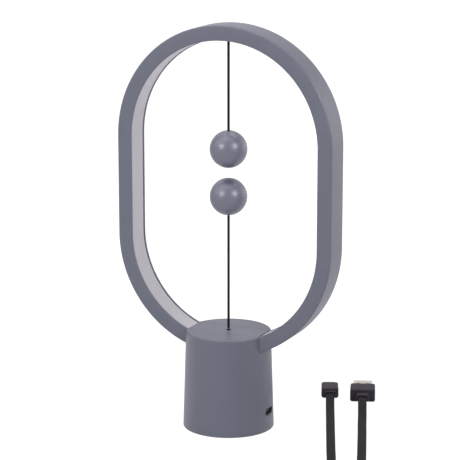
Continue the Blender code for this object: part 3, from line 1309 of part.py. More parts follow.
def make_a_plug():
    place = plug_place(A_LEAD_ROUTE, A_BODY_HEIGHT)
    bm = bmesh.new()
    add_plug_body(bm, A_BODY_WIDTH, A_BODY_HEIGHT, A_BODY_LENGTH, A_NECK_WIDTH, A_NECK_HEIGHT,
                  A_NECK_LENGTH)
    body = make_object("usb_a_plug_body", bm, "plug_rubber", place=place)
    tip = A_NECK_LENGTH + A_BODY_LENGTH
    cut(body, "a_plug_pocket", plug_pocket(A_SHELL_WIDTH, A_SHELL_HEIGHT, tip), place)
    start, end = tip - PLUG_POCKET_DEPTH + SEAT_GAP, tip + A_SHELL_LENGTH
    width, height = A_SHELL_WIDTH - 2 * A_SHELL_WALL, A_SHELL_HEIGHT - 2 * A_SHELL_WALL
    outer = rounded_outline(A_SHELL_WIDTH, A_SHELL_HEIGHT, 2 * A_SHELL_WALL, PLUG_CORNER_STEPS)
    inner = rounded_outline(width, height, A_SHELL_WALL, PLUG_CORNER_STEPS)
    bm = bmesh.new()
    add_sleeve(bm, outer, inner, start, end, OUTLINE_IN_YZ)
    shell = make_object("usb_a_plug_shell", bm, "plug_steel", place=place)
    windows = bmesh.new()
    x = end - A_WINDOW_SETBACK
    for side in (-1, 1):
        spot = (x, side * A_WINDOW_SPACING / 2)
        size = (A_WINDOW_LENGTH, A_WINDOW_WIDTH, A_SHELL_HEIGHT / 2 + CUT_OVERRUN)
        add_block(windows, spot, size, 0)
    cut(shell, "a_shell_windows", windows, place)
    floor = -height / 2 + SEAT_GAP
    tongue_top = floor + A_TONGUE_THICKNESS
    half = width / 2 - SEAT_GAP
    bm = bmesh.new()
    add_box(bm, (start, -half, floor), (end - A_SHELL_WALL, half, tongue_top))
    tongue = make_object("usb_a_plug_tongue", bm, "white_nylon", place=place)
    contacts = bmesh.new()
    for i in range(A_CONTACTS):
        y = (i - (A_CONTACTS - 1) / 2) * A_CONTACT_PITCH
        size = (A_CONTACT_LENGTH, A_CONTACT_WIDTH, 2 * A_CONTACT_THICKNESS)
        middle = end - 2 * A_SHELL_WALL - A_CONTACT_LENGTH / 2
        add_block(contacts, (middle, y), size, tongue_top - A_CONTACT_THICKNESS)
    weld(tongue, "a_plug_contacts", contacts, place)


def main():
    clear_scene()
    make_ring()
    make_anchor()
    make_balls()
    make_base_shell()
    make_slot_cover()
    make_bottom()
    make_board()
    make_socket()
    make_screws()
    make_switch_frame()
    make_slider()
    make_return_spring()
    make_switch()
    make_leads()
    make_cable()
    make_c_plug()
    make_a_plug()


main()
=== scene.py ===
"""Looks of an oval ring table lamp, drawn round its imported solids.

Lengths are in metres in the lamp's own frame: Z is up, the ring stands in the XZ plane and its
front faces -Y. Every new piece is a run of rings of points, worked out as one array and skinned.
"""

from math import asin, cos, pi, radians, sin, sqrt

import bmesh
import bpy
import numpy as np
from mathutils import Matrix, Vector


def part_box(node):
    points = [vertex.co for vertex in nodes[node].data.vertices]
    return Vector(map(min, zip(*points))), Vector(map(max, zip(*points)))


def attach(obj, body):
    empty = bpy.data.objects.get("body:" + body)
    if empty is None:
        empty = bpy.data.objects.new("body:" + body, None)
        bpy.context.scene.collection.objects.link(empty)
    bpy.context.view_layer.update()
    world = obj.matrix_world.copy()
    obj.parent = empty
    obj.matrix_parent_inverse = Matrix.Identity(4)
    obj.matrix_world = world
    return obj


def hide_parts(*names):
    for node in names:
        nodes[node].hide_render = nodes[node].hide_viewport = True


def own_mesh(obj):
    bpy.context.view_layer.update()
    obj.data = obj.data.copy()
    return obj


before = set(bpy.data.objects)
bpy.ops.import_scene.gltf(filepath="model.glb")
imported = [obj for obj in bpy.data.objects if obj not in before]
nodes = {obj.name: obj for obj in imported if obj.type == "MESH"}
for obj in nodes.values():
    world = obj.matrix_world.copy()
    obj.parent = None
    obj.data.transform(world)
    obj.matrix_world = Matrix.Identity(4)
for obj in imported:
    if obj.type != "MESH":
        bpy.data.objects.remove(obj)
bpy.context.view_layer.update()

# Camera, at the photograph's view
VIEW_RIGHT = np.array((0.906721, 0.421741, 0.0))
VIEW_BACK = np.array((0.41115968, -0.88397012, 0.22258603))
VIEW_UP = np.cross(VIEW_BACK, VIEW_RIGHT)
CAMERA_PLACE = (0.47632, -1.02205, 0.37658)
CAMERA_LENS = 154.541
SENSOR_WIDTH = 36.0
CAMERA_CLIP = (0.05, 50)

# Radii of eased edges, a cutter's overrun, and distances too small to be told from none
FINEST_EASE = 0.0001
FINE_EASE = 0.00015
EASE = 0.0002
WIDE_EASE = 0.0003
CUT_OVERRUN = 0.001
WELD_DISTANCE = 1e-7
POLE_RADIUS = 1e-6

# Ring
RING_RADIUS = 0.06815
RING_THICKNESS = 0.0088
RING_HALF_DEPTH = 0.0088
RING_WALL = 0.0015
RING_LOW_CENTRE = 0.11335
RING_HIGH_CENTRE = 0.17195
RING_MOUTH_HALF = 0.0130
RING_MOUTH_ANGLE = asin(RING_MOUTH_HALF / (RING_RADIUS - RING_THICKNESS))
RING_STEP = radians(1.25)
RING_SEAM = 0.00004
FRONT_BEVEL = 0.00060
BACK_EDGE = 0.00025
INNER_EDGE = 0.00030
LIP_START = 0.0018
LIP_END = 0.0027
LIP_REACH = 0.0018
DIFFUSER_FACE = 0.0085
DIFFUSER_BACK = 0.0073
DIFFUSER_HALF = 0.0071
DIFFUSER_HOLE = 0.00188
DIFFUSER_HOLE_RISE = 0.003
ANCHOR_STEM = 0.0018
ANCHOR_FLANGE = 0.0030
ANCHOR_FLANGE_LOW = 0.0015
ANCHOR_FLANGE_HIGH = 0.0025
ANCHOR_BORE = 0.0013
ANCHOR_BORE_DEPTH = 0.0016

# Balls and cords
BALL_RADIUS = 0.0110
BALL_CAVITY = 0.0094
BALL_LIP = 0.0012
BALL_LIP_WALL = 0.0008
LOWER_BALL_HEIGHT = 0.1392
UPPER_BALL_HEIGHT = 0.1673
CORD_RADIUS = 0.0007
CORD_BORE = 0.0010
BORE_EDGE = 0.00025
BEAD_RADIUS = 0.0009
KNOT_RADIUS = 0.0015
UPPER_PIVOT = 0.2313
LOWER_PIVOT = 0.0584
BRAID_PITCH = 0.0011
BRAID_STRANDS = 4
BRAID_ROWS = 9
BRAID_POINTS = 32
BRAID_LEAST = 1.02
BRAID_SWELL = 0.06
KNOT_DIP = 0.12
MAGNET_RADIUS = 0.0050

# Base
BASE_TOP = 0.0587
BASE_RIM = 0.0002
BASE_TOP_RADIUS = 0.0252
BASE_FOOT_RADIUS = 0.0271
BASE_WALL = 0.0020
DECK = 0.0022
TAPER_STEP = 0.0030
TOP_EDGE = 0.0008
FOOT_EDGE = 0.0003
GROOVE_CLEARANCE = 0.00005
COVER_GAP = 0.00013
UNDER_EDGE = 0.0006
TAPER_MARGIN = 0.003
PORT_HEIGHT = 0.0118
PORT_SLEEVE = (0.00894, 0.00326)
PORT_ROOM = (0.0004, 0.0005)
PORT_FLARE = 0.00116
PORT_FLARE_START = 0.00016
PORT_INWARD = 0.0040
SOCKET_BACK = 0.001
SOCKET_RIM_EASE = 0.00012
TONGUE_TIP_EASE = 0.00025
FRAME_TOP = 0.0437
FRAME_POST_PLACE = 0.0165
FRAME_POST_RADIUS = 0.0030
FRAME_BORE_DEPTH = 0.0063
FOOT_POST_ANGLES = (60, 180, 300)
FOOT_POST_RADIUS = 0.0026
FOOT_POST_LOW = 0.0038
FOOT_POST_HIGH = 0.0220
FOOT_BORE_TOP = 0.0098
POST_OVERLAP = 0.0005
SCREW_BORE = 0.0013
COVER_THICKNESS = 0.0015
COVER_POST_PLACE = 0.0085
COVER_POST_RADIUS = 0.0024
COVER_POST_LOW = 0.0440
COVER_BORE_SPAN = (0.0430, 0.0500)
BUSH_BORE = 0.00145
BUSH_WALL = 0.0009
BUSH_HOLE_LOW = 0.0500
CORD_HOLE_EDGE = 0.00025

# Flat cable: section, coil, and each end's route from its plug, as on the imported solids
CABLE_WIDTH = 0.0053
CABLE_THICKNESS = 0.0018
CABLE_EDGE = 0.0007
CABLE_DOME_SHARE = 0.93
CABLE_SPACING = 0.0018
COIL_CENTRE = np.array((0.1111, -0.0967))
COIL_HEADING = radians(-65.1)
COIL_INNER_RADIUS = 0.0242
COIL_PITCH = 0.0024
COIL_LOW = 0.00335
COIL_HIGH = 0.00925
COIL_TURNS = 4.5
COIL_TURN_POINTS = 96
TWIST_LENGTH = 0.0300
SEAT_GAP = 0.0003
TIE_HALF_THICKNESS = 0.0002
TIE_HALF_WIDTH = 0.0030
TIE_BEND = 0.0009
C_END_ROUTE = np.array((
    (0.0371, 0.0698, 0.0032), (0.0394, 0.0643, 0.0030), (0.0432, 0.0550, 0.0020),
    (0.0474, 0.0448, 0.0012), (0.0539, 0.0291, 0.0010), (0.0611, 0.0116, 0.0010),
    (0.0676, -0.0041, 0.0010), (0.0745, -0.0208, 0.0010), (0.0826, -0.0404, 0.0010),
    (0.0858, -0.0524, 0.0010), (0.0836, -0.0650, 0.0013), (0.0797, -0.0779, 0.0021),
    (0.0775, -0.0903, 0.0031),
))
A_END_ROUTE = np.array((
    (0.0592, 0.0685, 0.0040), (0.0613, 0.0629, 0.0037), (0.0649, 0.0536, 0.0026),
    (0.0689, 0.0433, 0.0014), (0.0742, 0.0293, 0.0010), (0.0800, 0.0144, 0.0010),
    (0.0857, -0.0006, 0.0010), (0.0918, -0.0165, 0.0010), (0.0982, -0.0331, 0.0010),
    (0.1039, -0.0440, 0.0013), (0.1119, -0.0524, 0.0026), (0.1210, -0.0593, 0.0050),
    (0.1290, -0.0669, 0.0078),
))


# Camera


def place_camera():
    camera = bpy.data.objects.new("camera", bpy.data.cameras.new("camera"))
    bpy.context.scene.collection.objects.link(camera)
    camera.data.lens = CAMERA_LENS
    camera.data.sensor_width = SENSOR_WIDTH
    camera.data.clip_start, camera.data.clip_end = CAMERA_CLIP
    turn = Matrix(np.stack((VIEW_RIGHT, VIEW_UP, VIEW_BACK), 1).tolist()).to_4x4()
    camera.matrix_world = Matrix.Translation(CAMERA_PLACE) @ turn
    bpy.context.scene.camera = camera


place_camera()


# Shapes: every piece is a run of closed rings of points, an array of rings by points by 3


def ring_quads(rows, columns, closed_run):
    """Faces of a grid: each joins a point, the next on its ring, and the two beyond on the next
    ring. The last point of a ring is joined to its first, and the last ring to the first if the
    run closes."""
    row = np.arange(rows if closed_run else rows - 1)[:, None]
    column = np.arange(columns)[None, :]
    next_row, next_column = (row + 1) % rows, (column + 1) % columns
    corners = (row * columns + column, row * columns + next_column,
               next_row * columns + next_column, next_row * columns + column)
    return np.stack(np.broadcast_arrays(*corners), -1).reshape(-1, 4)


def skin(name, rings, closed_run=False):
    """A closed mesh over a run of rings. The two end rings are filled, a ring that has shrunk to
    one point becomes a pole, and the faces are turned outwards after the doubles are merged."""
    rows, columns, _ = rings.shape
    points = rings.reshape(-1, 3)
    faces = ring_quads(rows, columns, closed_run).tolist()
    if not closed_run:
        faces += [list(range(columns)), list(range(len(points) - columns, len(points)))]
    mesh = bpy.data.meshes.new(name)
    mesh.from_pydata(points.tolist(), [], faces)
    whole = bmesh.new()
    whole.from_mesh(mesh)
    bmesh.ops.remove_doubles(whole, verts=whole.verts, dist=WELD_DISTANCE)
    bmesh.ops.recalc_face_normals(whole, faces=whole.faces)
    whole.to_mesh(mesh)
    whole.free()
    return mesh


def carve(mesh, tool, operation="DIFFERENCE"):
    """The mesh with another closed mesh cut away from it, or welded to it."""
    pair = [bpy.data.objects.new(part.name, part) for part in (mesh, tool)]
    for item in pair:
        bpy.context.scene.collection.objects.link(item)
    change = pair[0].modifiers.new("carve", "BOOLEAN")
    change.operation = operation
    change.solver = "EXACT"
    change.object = pair[1]
    bpy.context.view_layer.update()
    shown = pair[0].evaluated_get(bpy.context.evaluated_depsgraph_get())
    made = bpy.data.meshes.new_from_object(shown)
    for item in pair:
        bpy.data.objects.remove(item)
    return made


def piece(name, mesh, finish, replaces=(), body="root", sharp=32):
    """A finished piece: smooth but for its sharp edges, riding on a body, in place of its
    solids."""
    if not isinstance(mesh, bpy.types.Mesh):
        mesh = skin(name, mesh)
    mesh.name = name
    mesh.materials.clear()
    mesh.materials.append(finish)
    mesh.shade_smooth()
    mesh.set_sharp_from_angle(angle=radians(sharp))
    made = bpy.data.objects.new(name + "_look", mesh)
    bpy.context.scene.collection.objects.link(made)
    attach(made, body)
    if replaces:
        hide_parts(*replaces)
    return made


def rounded(corners, radii, steps=6, closed=True):
    """A line through corners in any number of dimensions, each corner turned into an arc that
    touches both its sides. The arc swings about a centre on the corner's bisector, and a radius of
    zero or the end of an open line keeps its point."""
    corners = np.asarray(corners, float)
    count = len(corners)
    parts = []
    for i in range(count):
        corner = corners[i]
        if radii[i] == 0 or (not closed and i in (0, count - 1)):
            parts.append(corner[None])
            continue
        back, ahead = corners[i - 1] - corner, corners[(i + 1) % count] - corner
        back, ahead = back / np.linalg.norm(back), ahead / np.linalg.norm(ahead)
        half = np.arccos(np.clip(back @ ahead, -1, 1)) / 2
        bisector = (back + ahead) / np.linalg.norm(back + ahead)
        centre = corner + bisector * radii[i] / sin(half)
        start = corner + back * radii[i] / np.tan(half) - centre
        stop = corner + ahead * radii[i] / np.tan(half) - centre
        swing = pi - 2 * half
        share = np.linspace(0, 1, steps + 1)[:, None]
        parts.append(centre + (np.sin((1 - share) * swing) * start + np.sin(share * swing) * stop)
                     / sin(swing))
    return np.concatenate(parts)


def turn(profile, steps, x=0.0, y=0.0):
    """Rings of a turned piece: each (radius, height) point of the profile goes once round an
    upright axis, to (radius cos a, radius sin a, height)."""
    angle = np.arange(steps) * (2 * pi / steps)
    radius, height = profile[:, :1], profile[:, 1:]
    return np.stack((x + radius * np.cos(angle), y + radius * np.sin(angle), height + 0 * angle), -1)


def upright(radius, low, high, x=0.0, y=0.0):
    """A plain round bar, for a boss or a bore."""
    profile = np.array(((0, low), (radius, low), (radius, high), (0, high)))
    return skin("bar", turn(profile, 48, x, y))


def carry_round_ring(section):
    """Rings of a ring piece: an (inset, depth) section at each station. A station is an angle
    about the lower or the upper arc's centre, and its point lies the ring's radius less the inset
    away."""
    sweep = pi / 2 - RING_MOUTH_ANGLE
    quarter = np.linspace(-sweep, 0, round(sweep / RING_STEP) + 1)
    over = np.linspace(0, pi, round(pi / RING_STEP) + 1)
    angle = np.concatenate((quarter, over, pi - quarter[::-1]))[:, None]
    low_arc = np.full(len(quarter), RING_LOW_CENTRE)
    centre = np.concatenate((low_arc, np.full(len(over), RING_HIGH_CENTRE), low_arc))[:, None]
    radius = RING_RADIUS - section[:, 0]
    depth = section[:, 1] + 0 * angle
    return np.stack((radius * np.cos(angle), depth, centre + radius * np.sin(angle)), -1)


def loft(stations, side_points=10, corner_points=6):
    """Rings of a rounded box along X: a station (x, half width, half height, corner radius) gives
    a rectangle in YZ whose corners are quarter circles, with evenly spaced points on its sides."""
    x, wide, high, edge = (stations[:, i, None] for i in range(4))
    edge = np.minimum(edge, np.minimum(wide, high))
    quarter = np.linspace(0, pi / 2, corner_points + 1)
    share = np.linspace(0, 1, side_points + 1)[1:-1]
    ys, zs = [], []
    signs = ((1, 1), (-1, 1), (-1, -1), (1, -1))
    for turn_index, (right, top) in enumerate(signs):
        angle = quarter + turn_index * pi / 2
        ys.append(right * (wide - edge) + edge * np.cos(angle))
        zs.append(top * (high - edge) + edge * np.sin(angle))
        next_right, next_top = signs[(turn_index + 1) % 4]
        begin_y, begin_z = ys[-1][:, -1:], zs[-1][:, -1:]
        swing = (turn_index + 1) * pi / 2
        end_y = next_right * (wide - edge) + edge * cos(swing)
        end_z = next_top * (high - edge) + edge * sin(swing)
        ys.append(begin_y + (end_y - begin_y) * share)
        zs.append(begin_z + (end_z - begin_z) * share)
    y, z = np.concatenate(ys, 1), np.concatenate(zs, 1)
    return np.stack((x + 0 * y, y, z), -1)


def stand(rings, origin, along):
    """Rings drawn along X carried to a frame whose X is a level direction and whose Z is up."""
    along = np.asarray((along[0], along[1], 0.0))
    across = np.array((-along[1], along[0], 0.0))
    rise = np.array((0, 0, 1.0))
    return origin + rings[..., :1] * along + rings[..., 1:2] * across + rings[..., 2:] * rise


def smooth_route(points, spacing):
    """A smooth curve through a route's points: between two points it is the cubic whose slope at
    each is half the way from the point before to the point after. It is then read at even
    spacing."""
    ends = np.concatenate((2 * points[:1] - points[1:2], points, 2 * points[-1:] - points[-2:-1]))
    before, start, stop, after = ends[:-3, None], ends[1:-2, None], ends[2:-1, None], ends[3:, None]
    t = np.linspace(0, 1, 24, endpoint=False)[None, :, None]
    bend = 2 * before - 5 * start + 4 * stop - after
    curl = -before + 3 * start - 3 * stop + after
    run = ((2 * start + (stop - before) * t + bend * t ** 2 + curl * t ** 3) / 2).reshape(-1, 3)
    return evenly(np.concatenate((run, points[-1:])), spacing)


def evenly(run, spacing):
    """The same line with points at even distances along it."""
    gone = np.concatenate(([0], np.cumsum(np.linalg.norm(np.diff(run, axis=0), axis=1))))
    at = np.linspace(0, gone[-1], max(2, round(gone[-1] / spacing)) + 1)
    return np.stack([np.interp(at, gone, run[:, i]) for i in range(3)], 1)


def directions(run):
    """Unit direction of a line at each point, from the point before to the point after."""
    ends = np.concatenate((2 * run[:1] - run[1:2], run, 2 * run[-1:] - run[-2:-1]))
    along = ends[2:] - ends[:-2]
    return along / np.linalg.norm(along, axis=1, keepdims=True)


# Materials

NOISE_LOW, NOISE_HIGH = 0.3, 0.7
CLOUD_DETAIL = 3.0
COARSE_GRAIN = 9
COARSE_DEPTH = 1.5


def shader_of(name):
    made = bpy.data.materials.new(name)
    made.use_nodes = True
    tree = made.node_tree
    return made, tree, tree.nodes["Principled BSDF"]


def noise(tree, size, detail=2.0):
    """Cloudy values in the piece's own object coordinates, whose spots are about that size
    across."""
    made = tree.nodes.new("ShaderNodeTexNoise")
    made.inputs["Scale"].default_value = 1 / size
    made.inputs["Detail"].default_value = detail
    places = tree.nodes.new("ShaderNodeTexCoord")
    tree.links.new(places.outputs["Object"], made.inputs["Vector"])
    return made.outputs["Fac"]


def spread_over(tree, value, low, high, socket):
    """Map a cloudy value to the span between two numbers and give it to a socket."""
    made = tree.nodes.new("ShaderNodeMapRange")
    for key, number in (("From Min", NOISE_LOW), ("From Max", NOISE_HIGH), ("To Min", low),
                        ("To Max", high)):
        made.inputs[key].default_value = number
    tree.links.new(value, made.inputs["Value"])
    tree.links.new(made.outputs["Result"], socket)


def tint_over(tree, value, dark, light, socket):
    """Blend from one colour to another as a cloudy value rises."""
    ramp = tree.nodes.new("ShaderNodeValToRGB")
    places = (NOISE_LOW, NOISE_HIGH)
    for stop, position, colour in zip(ramp.color_ramp.elements, places, (dark, light)):
        stop.position = position
        stop.color = (*colour, 1)
    tree.links.new(value, ramp.inputs["Fac"])
    tree.links.new(ramp.outputs["Color"], socket)


def bump_from(tree, layers, socket):
    """Heights of one or more cloudy values, each with its own depth in metres, one over the
    other."""
    last = None
    for value, depth in layers:
        made = tree.nodes.new("ShaderNodeBump")
        made.inputs["Distance"].default_value = depth
        tree.links.new(value, made.inputs["Height"])
        if last:
            tree.links.new(last, made.inputs["Normal"])
        last = made.outputs["Normal"]
    tree.links.new(last, socket)


def finish(name, colour, roughness, spread=0.06, rough_spread=0.05, grain=0.00025, depth=0.000006,
           cloud=0.012, metallic=0.0, specular=0.5):
    """A moulded, cast, drawn or plated finish: colour drifts over a cloud's size, roughness over
    the grain's, and a fine and a coarser grain stand up by their depths."""
    made, tree, shader = shader_of(name)
    shader.inputs["Metallic"].default_value = metallic
    shader.inputs["Specular IOR Level"].default_value = specular
    base = np.array(colour)
    drift = noise(tree, cloud, CLOUD_DETAIL)
    tint_over(tree, drift, base * (1 - spread), base * (1 + spread), shader.inputs["Base Color"])
    fine = noise(tree, grain)
    spread_over(tree, fine, roughness - rough_spread, roughness + rough_spread,
                shader.inputs["Roughness"])
    coarse = noise(tree, grain * COARSE_GRAIN)
    bump_from(tree, ((fine, depth), (coarse, depth * COARSE_DEPTH)), shader.inputs["Normal"])
    return made


GREY_PLASTIC = finish("grey_plastic", (0.090, 0.094, 0.128), 0.46, spread=0.025, grain=0.00022)
BALL_PLASTIC = finish("ball_plastic", (0.085, 0.090, 0.130), 0.40, spread=0.025, rough_spread=0.02,
                      grain=0.00030, depth=0.000001, specular=0.85)
DIFFUSER = finish("diffuser", (0.390, 0.376, 0.408), 0.55, spread=0.02, grain=0.0004, cloud=0.03,
                  depth=0.000003)
BLACK_CORD = finish("black_cord", (0.015, 0.015, 0.016), 0.85, spread=0.20, grain=0.00012,
                    depth=0.00001, cloud=0.0006, specular=0.04)
BLACK_PLASTIC = finish("black_plastic", (0.022, 0.022, 0.025), 0.48, spread=0.12)
DARK_FOAM = finish("dark_foam", (0.028, 0.028, 0.031), 0.92, spread=0.30, grain=0.0004,
                   depth=0.00008, cloud=0.0012, specular=0.2)
WHITE_NYLON = finish("white_nylon", (0.70, 0.69, 0.66), 0.50, spread=0.03)
STEEL = finish("steel", (0.56, 0.56, 0.57), 0.30, spread=0.08, metallic=1.0, grain=0.0001)
# Socket steel painted near black and dull: painted shade standing in for the shade inside the port,
# not the drawn steel's own colour
PAINTED_SHADE_STEEL = finish("painted_shade_steel", (0.018, 0.017, 0.017), 0.45, spread=0.10, grain=0.0001,
                    specular=0.2)
CAST_IRON = finish("cast_iron", (0.12, 0.12, 0.13), 0.62, spread=0.20, metallic=1.0, grain=0.0006,
                   depth=0.00005, cloud=0.004)
NICKEL = finish("magnet_nickel", (0.62, 0.61, 0.58), 0.20, spread=0.05, metallic=1.0, grain=0.0002,
                depth=0.000002)
PLUG_STEEL = finish("plug_steel", (0.50, 0.45, 0.395), 0.34, spread=0.05, metallic=1.0,
                    grain=0.00012, depth=0.000002, cloud=0.005)
PLUG_RUBBER = finish("plug_rubber", (0.033, 0.029, 0.038), 0.55, spread=0.10, grain=0.00018,
                     depth=0.000008, specular=0.06)
CABLE_RUBBER = finish("cable_rubber", (0.0145, 0.013, 0.0155), 0.60, spread=0.10, grain=0.00018,
                      depth=0.000008, specular=0.04)
LEAD_RED = finish("lead_red", (0.42, 0.028, 0.018), 0.50, spread=0.08)
STRIP_BOARD = finish("strip_board", (0.80, 0.80, 0.76), 0.55, spread=0.03)
GREEN_BOARD = finish("green_board", (0.018, 0.13, 0.066), 0.40, spread=0.18, cloud=0.0022,
                     grain=0.0004)


# Cords, first


def braided(low, high):
    """Rings of a braided cord on the Z axis. Its radius swells along two sets of strands that wind
    opposite ways: the greater of |cos(4a + kz)| and |cos(4a - kz)|, with k a half turn each
    pitch."""
    height = np.linspace(low, high, round((high - low) / BRAID_PITCH * BRAID_ROWS) + 1)[:, None]
    angle = np.arange(BRAID_POINTS) * (2 * pi / BRAID_POINTS)
    climb = pi * (height - low) / BRAID_PITCH
    strands = np.maximum(np.abs(np.cos(BRAID_STRANDS * angle + climb)),
                         np.abs(np.cos(BRAID_STRANDS * angle - climb)))
    radius = CORD_RADIUS * (BRAID_LEAST + BRAID_SWELL * strands)
    return np.stack((radius * np.cos(angle), radius * np.sin(angle), height + 0 * angle), -1)


def wound_knot(centre_height, radius):
    """Rings of a tight knot: a ball whose radius dips between windings that lean round it, by a
    share as the square of sin(2a + 5b) for the angles a round and b down from its pole."""
    down = np.linspace(0, pi, 33)[:, None]
    around = np.arange(48) * (2 * pi / 48)
    dip = KNOT_DIP * np.sin(2 * around + 5 * down) ** 2 * np.sin(down)
    reach = radius * (1 - dip)
    return np.stack((reach * np.sin(down) * np.cos(around), reach * np.sin(down) * np.sin(around),
                     centre_height + reach * np.cos(down) + 0 * around), -1)


def span(node):
    """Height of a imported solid's lowest point and of its highest."""
    low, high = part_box(node)
    return low.z, high.z


UPPER_CORD_SPAN, LOWER_CORD_SPAN = span("upper_cord"), span("lower_cord")

upper_cord = piece("upper_cord", braided(*UPPER_CORD_SPAN), BLACK_CORD, ["upper_cord"],
                   "upper_pendulum", 60)
lower_cord = piece("lower_cord", braided(*LOWER_CORD_SPAN), BLACK_CORD, ["lower_cord"],
                   "lower_stem", 60)
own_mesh(lower_cord)
piece("upper_cord_bead", wound_knot(UPPER_PIVOT, BEAD_RADIUS), BLACK_CORD,
      ["upper_cord_bead"], "upper_bead", 60)
piece("lower_cord_bead", wound_knot(LOWER_PIVOT, BEAD_RADIUS), BLACK_CORD,
      ["lower_cord_bead"], "lower_bead", 60)
piece("pull_cord", braided(*span("pull_cord")), BLACK_CORD, ["pull_cord"], "pull", 60)


def coil_line():
    """Centre line of the coil: wound inwards in the lower layer and out again in the upper one.
    Away from the middle turn its radius is the least one plus a pitch for each step out, and its
    height rises in the half turn that climbs."""
    count = int(COIL_TURNS * COIL_TURN_POINTS)
    share = np.arange(count + 1) / count
    from_middle = COIL_TURNS * (share - 0.5)
    away = np.abs(from_middle)
    quarter = 0.25
    steps_out = np.where(away < quarter, 0, np.where(away < 3 * quarter, 2 * (away - quarter),
                                                     away + quarter))
    radius = COIL_INNER_RADIUS + COIL_PITCH * steps_out
    angle = COIL_HEADING - pi / 2 + 2 * pi * COIL_TURNS * share
    climb = np.clip(from_middle * 2 + 0.5, 0, 1)
    height = COIL_LOW + (COIL_HIGH - COIL_LOW) * climb ** 2 * (3 - 2 * climb)
    return np.stack((COIL_CENTRE[0] + radius * np.cos(angle),
                     COIL_CENTRE[1] + radius * np.sin(angle), height), 1)


def cable_line():
    """The whole cable's centre line, from the C plug through the coil to the A plug, and how far
    each of its points is turned from lying flat towards standing on edge."""
    heading = np.array((cos(COIL_HEADING), sin(COIL_HEADING), 0.0))
    coil = coil_line()
    lead = heading * CABLE_WIDTH
    coil = np.concatenate((coil[:1] - lead, coil, coil[-1:] - lead))
    ends = []
    for route, joint in ((C_END_ROUTE, coil[0]), (A_END_ROUTE, coil[-1])):
        points = np.concatenate((route, [joint - heading * (SEAT_GAP + CABLE_WIDTH)], [joint]))
        ends.append(smooth_route(points, CABLE_SPACING))
    line = evenly(np.concatenate((ends[0], coil[1:-1], ends[1][::-1])), CABLE_SPACING)
    gone = np.concatenate(([0], np.cumsum(np.linalg.norm(np.diff(line, axis=0), axis=1))))
    lengths = [np.linalg.norm(np.diff(end, axis=0), axis=1).sum() for end in ends]
    before_coil = np.clip(lengths[0] - CABLE_WIDTH - gone, 0, TWIST_LENGTH)
    past_coil = np.clip(gone - (gone[-1] - lengths[1] + CABLE_WIDTH), 0, TWIST_LENGTH)
    return line, pi / 2 * (1 - (before_coil + past_coil) / TWIST_LENGTH)


def flat_section():
    """Section of the flat cable: a wide rectangle with round edges and faintly domed faces."""
    half_width, half_height = CABLE_WIDTH / 2, CABLE_THICKNESS / 2
    low = half_height * CABLE_DOME_SHARE
    corners = ((half_width, -low), (half_width, low), (0, half_height), (-half_width, low),
               (-half_width, -low), (0, -half_height))
    edge = CABLE_EDGE
    return rounded(corners, (edge, edge, half_width, edge, edge, half_width), 5)


def carry_flat(line, twist, section):
    """Rings of the flat cable: the section's first axis is level at twist 0 and upright at a
    quarter turn, and both axes are square to the line."""
    along = directions(line)
    side = np.cross((0, 0, 1.0), along)
    side /= np.linalg.norm(side, axis=1, keepdims=True)
    up = np.cross(along, side)
    lean, rise = np.cos(twist)[:, None], np.sin(twist)[:, None]
    wide, thick = side * lean + up * rise, up * lean - side * rise
    return (line[:, None] + wide[:, None] * section[None, :, :1]
            + thick[:, None] * section[None, :, 1:])


CABLE_LINE, CABLE_TWIST = cable_line()
usb_cable = piece("usb_cable", carry_flat(CABLE_LINE, CABLE_TWIST, flat_section()), CABLE_RUBBER,
                  ["usb_cable_c_end", "usb_cable_coil", "usb_cable_a_end"])


# Plugs: in a plug's own frame +X points to its tip and the cable leaves at the origin

C_NECK_LENGTH = 0.0020
C_BODY_TIP = 0.0164
C_BODY_HALF = (0.00535, 0.0032)
C_SHELL_HALF = (0.004125, 0.0012)
C_SHELL_TIP = 0.0234
A_NECK_LENGTH = 0.0049
A_BODY_TIP = 0.0190
A_BODY_HALF = (0.0078, 0.0040)
A_SHELL_HALF = (0.0060, 0.00225)
A_SHELL_TIP = 0.0310
C_NECK_HALF = (0.0038, 0.0018)
C_BODY_EDGE = 0.0012
C_DENT = (0.00030, 0.0052, 0.0125, 0.00055)
C_NOSE = 0.0004
A_NECK_HALF = (0.0038, 0.0022)
A_BODY_EDGE = 0.0011
A_SHELL_EDGE = 0.0006
A_NOSE = 0.0010
RECESS_DEPTH = 0.0012
RECESS_ROOM = 0.00008
RECESS_EDGE = 0.0006
NECK_EDGE = 0.0009
SHOULDER_SHARE = 0.93
SHOULDER_LENGTH = 0.0016
SHOULDER_EDGE = 0.0012
TIP_SHARE = 0.985
POCKET_ROOM = 0.00012
POCKET_EDGE_SHARE = 0.9
OVERMOULD_BENDS = (0, 0, 0.0002, 0.0005, 0.0003, 0.0009, 0.0012, 0.0008, 0.00015, 0, 0)
SHELL_WALL = 0.0003
SHELL_BENDS = (0, 0.001, 0.00011, 0.00011, 0.001, 0)
NOSE_OUTER_SHARE = 0.16
NOSE_INNER_SHARE = 0.1
POCKET_DEPTH = 0.0020
A_WINDOW = (0.0021, 0.0020)
A_WINDOW_PLACE = (0.0238, 0.0029)


def plug_frame(route, half_height):
    """(origin, direction) of a plug whose cable follows that route and which lies on the floor."""
    along = (route[0] - route[1])[:2]
    along = along / np.linalg.norm(along)
    return np.array((*(route[0, :2] + SEAT_GAP * along), half_height)), along


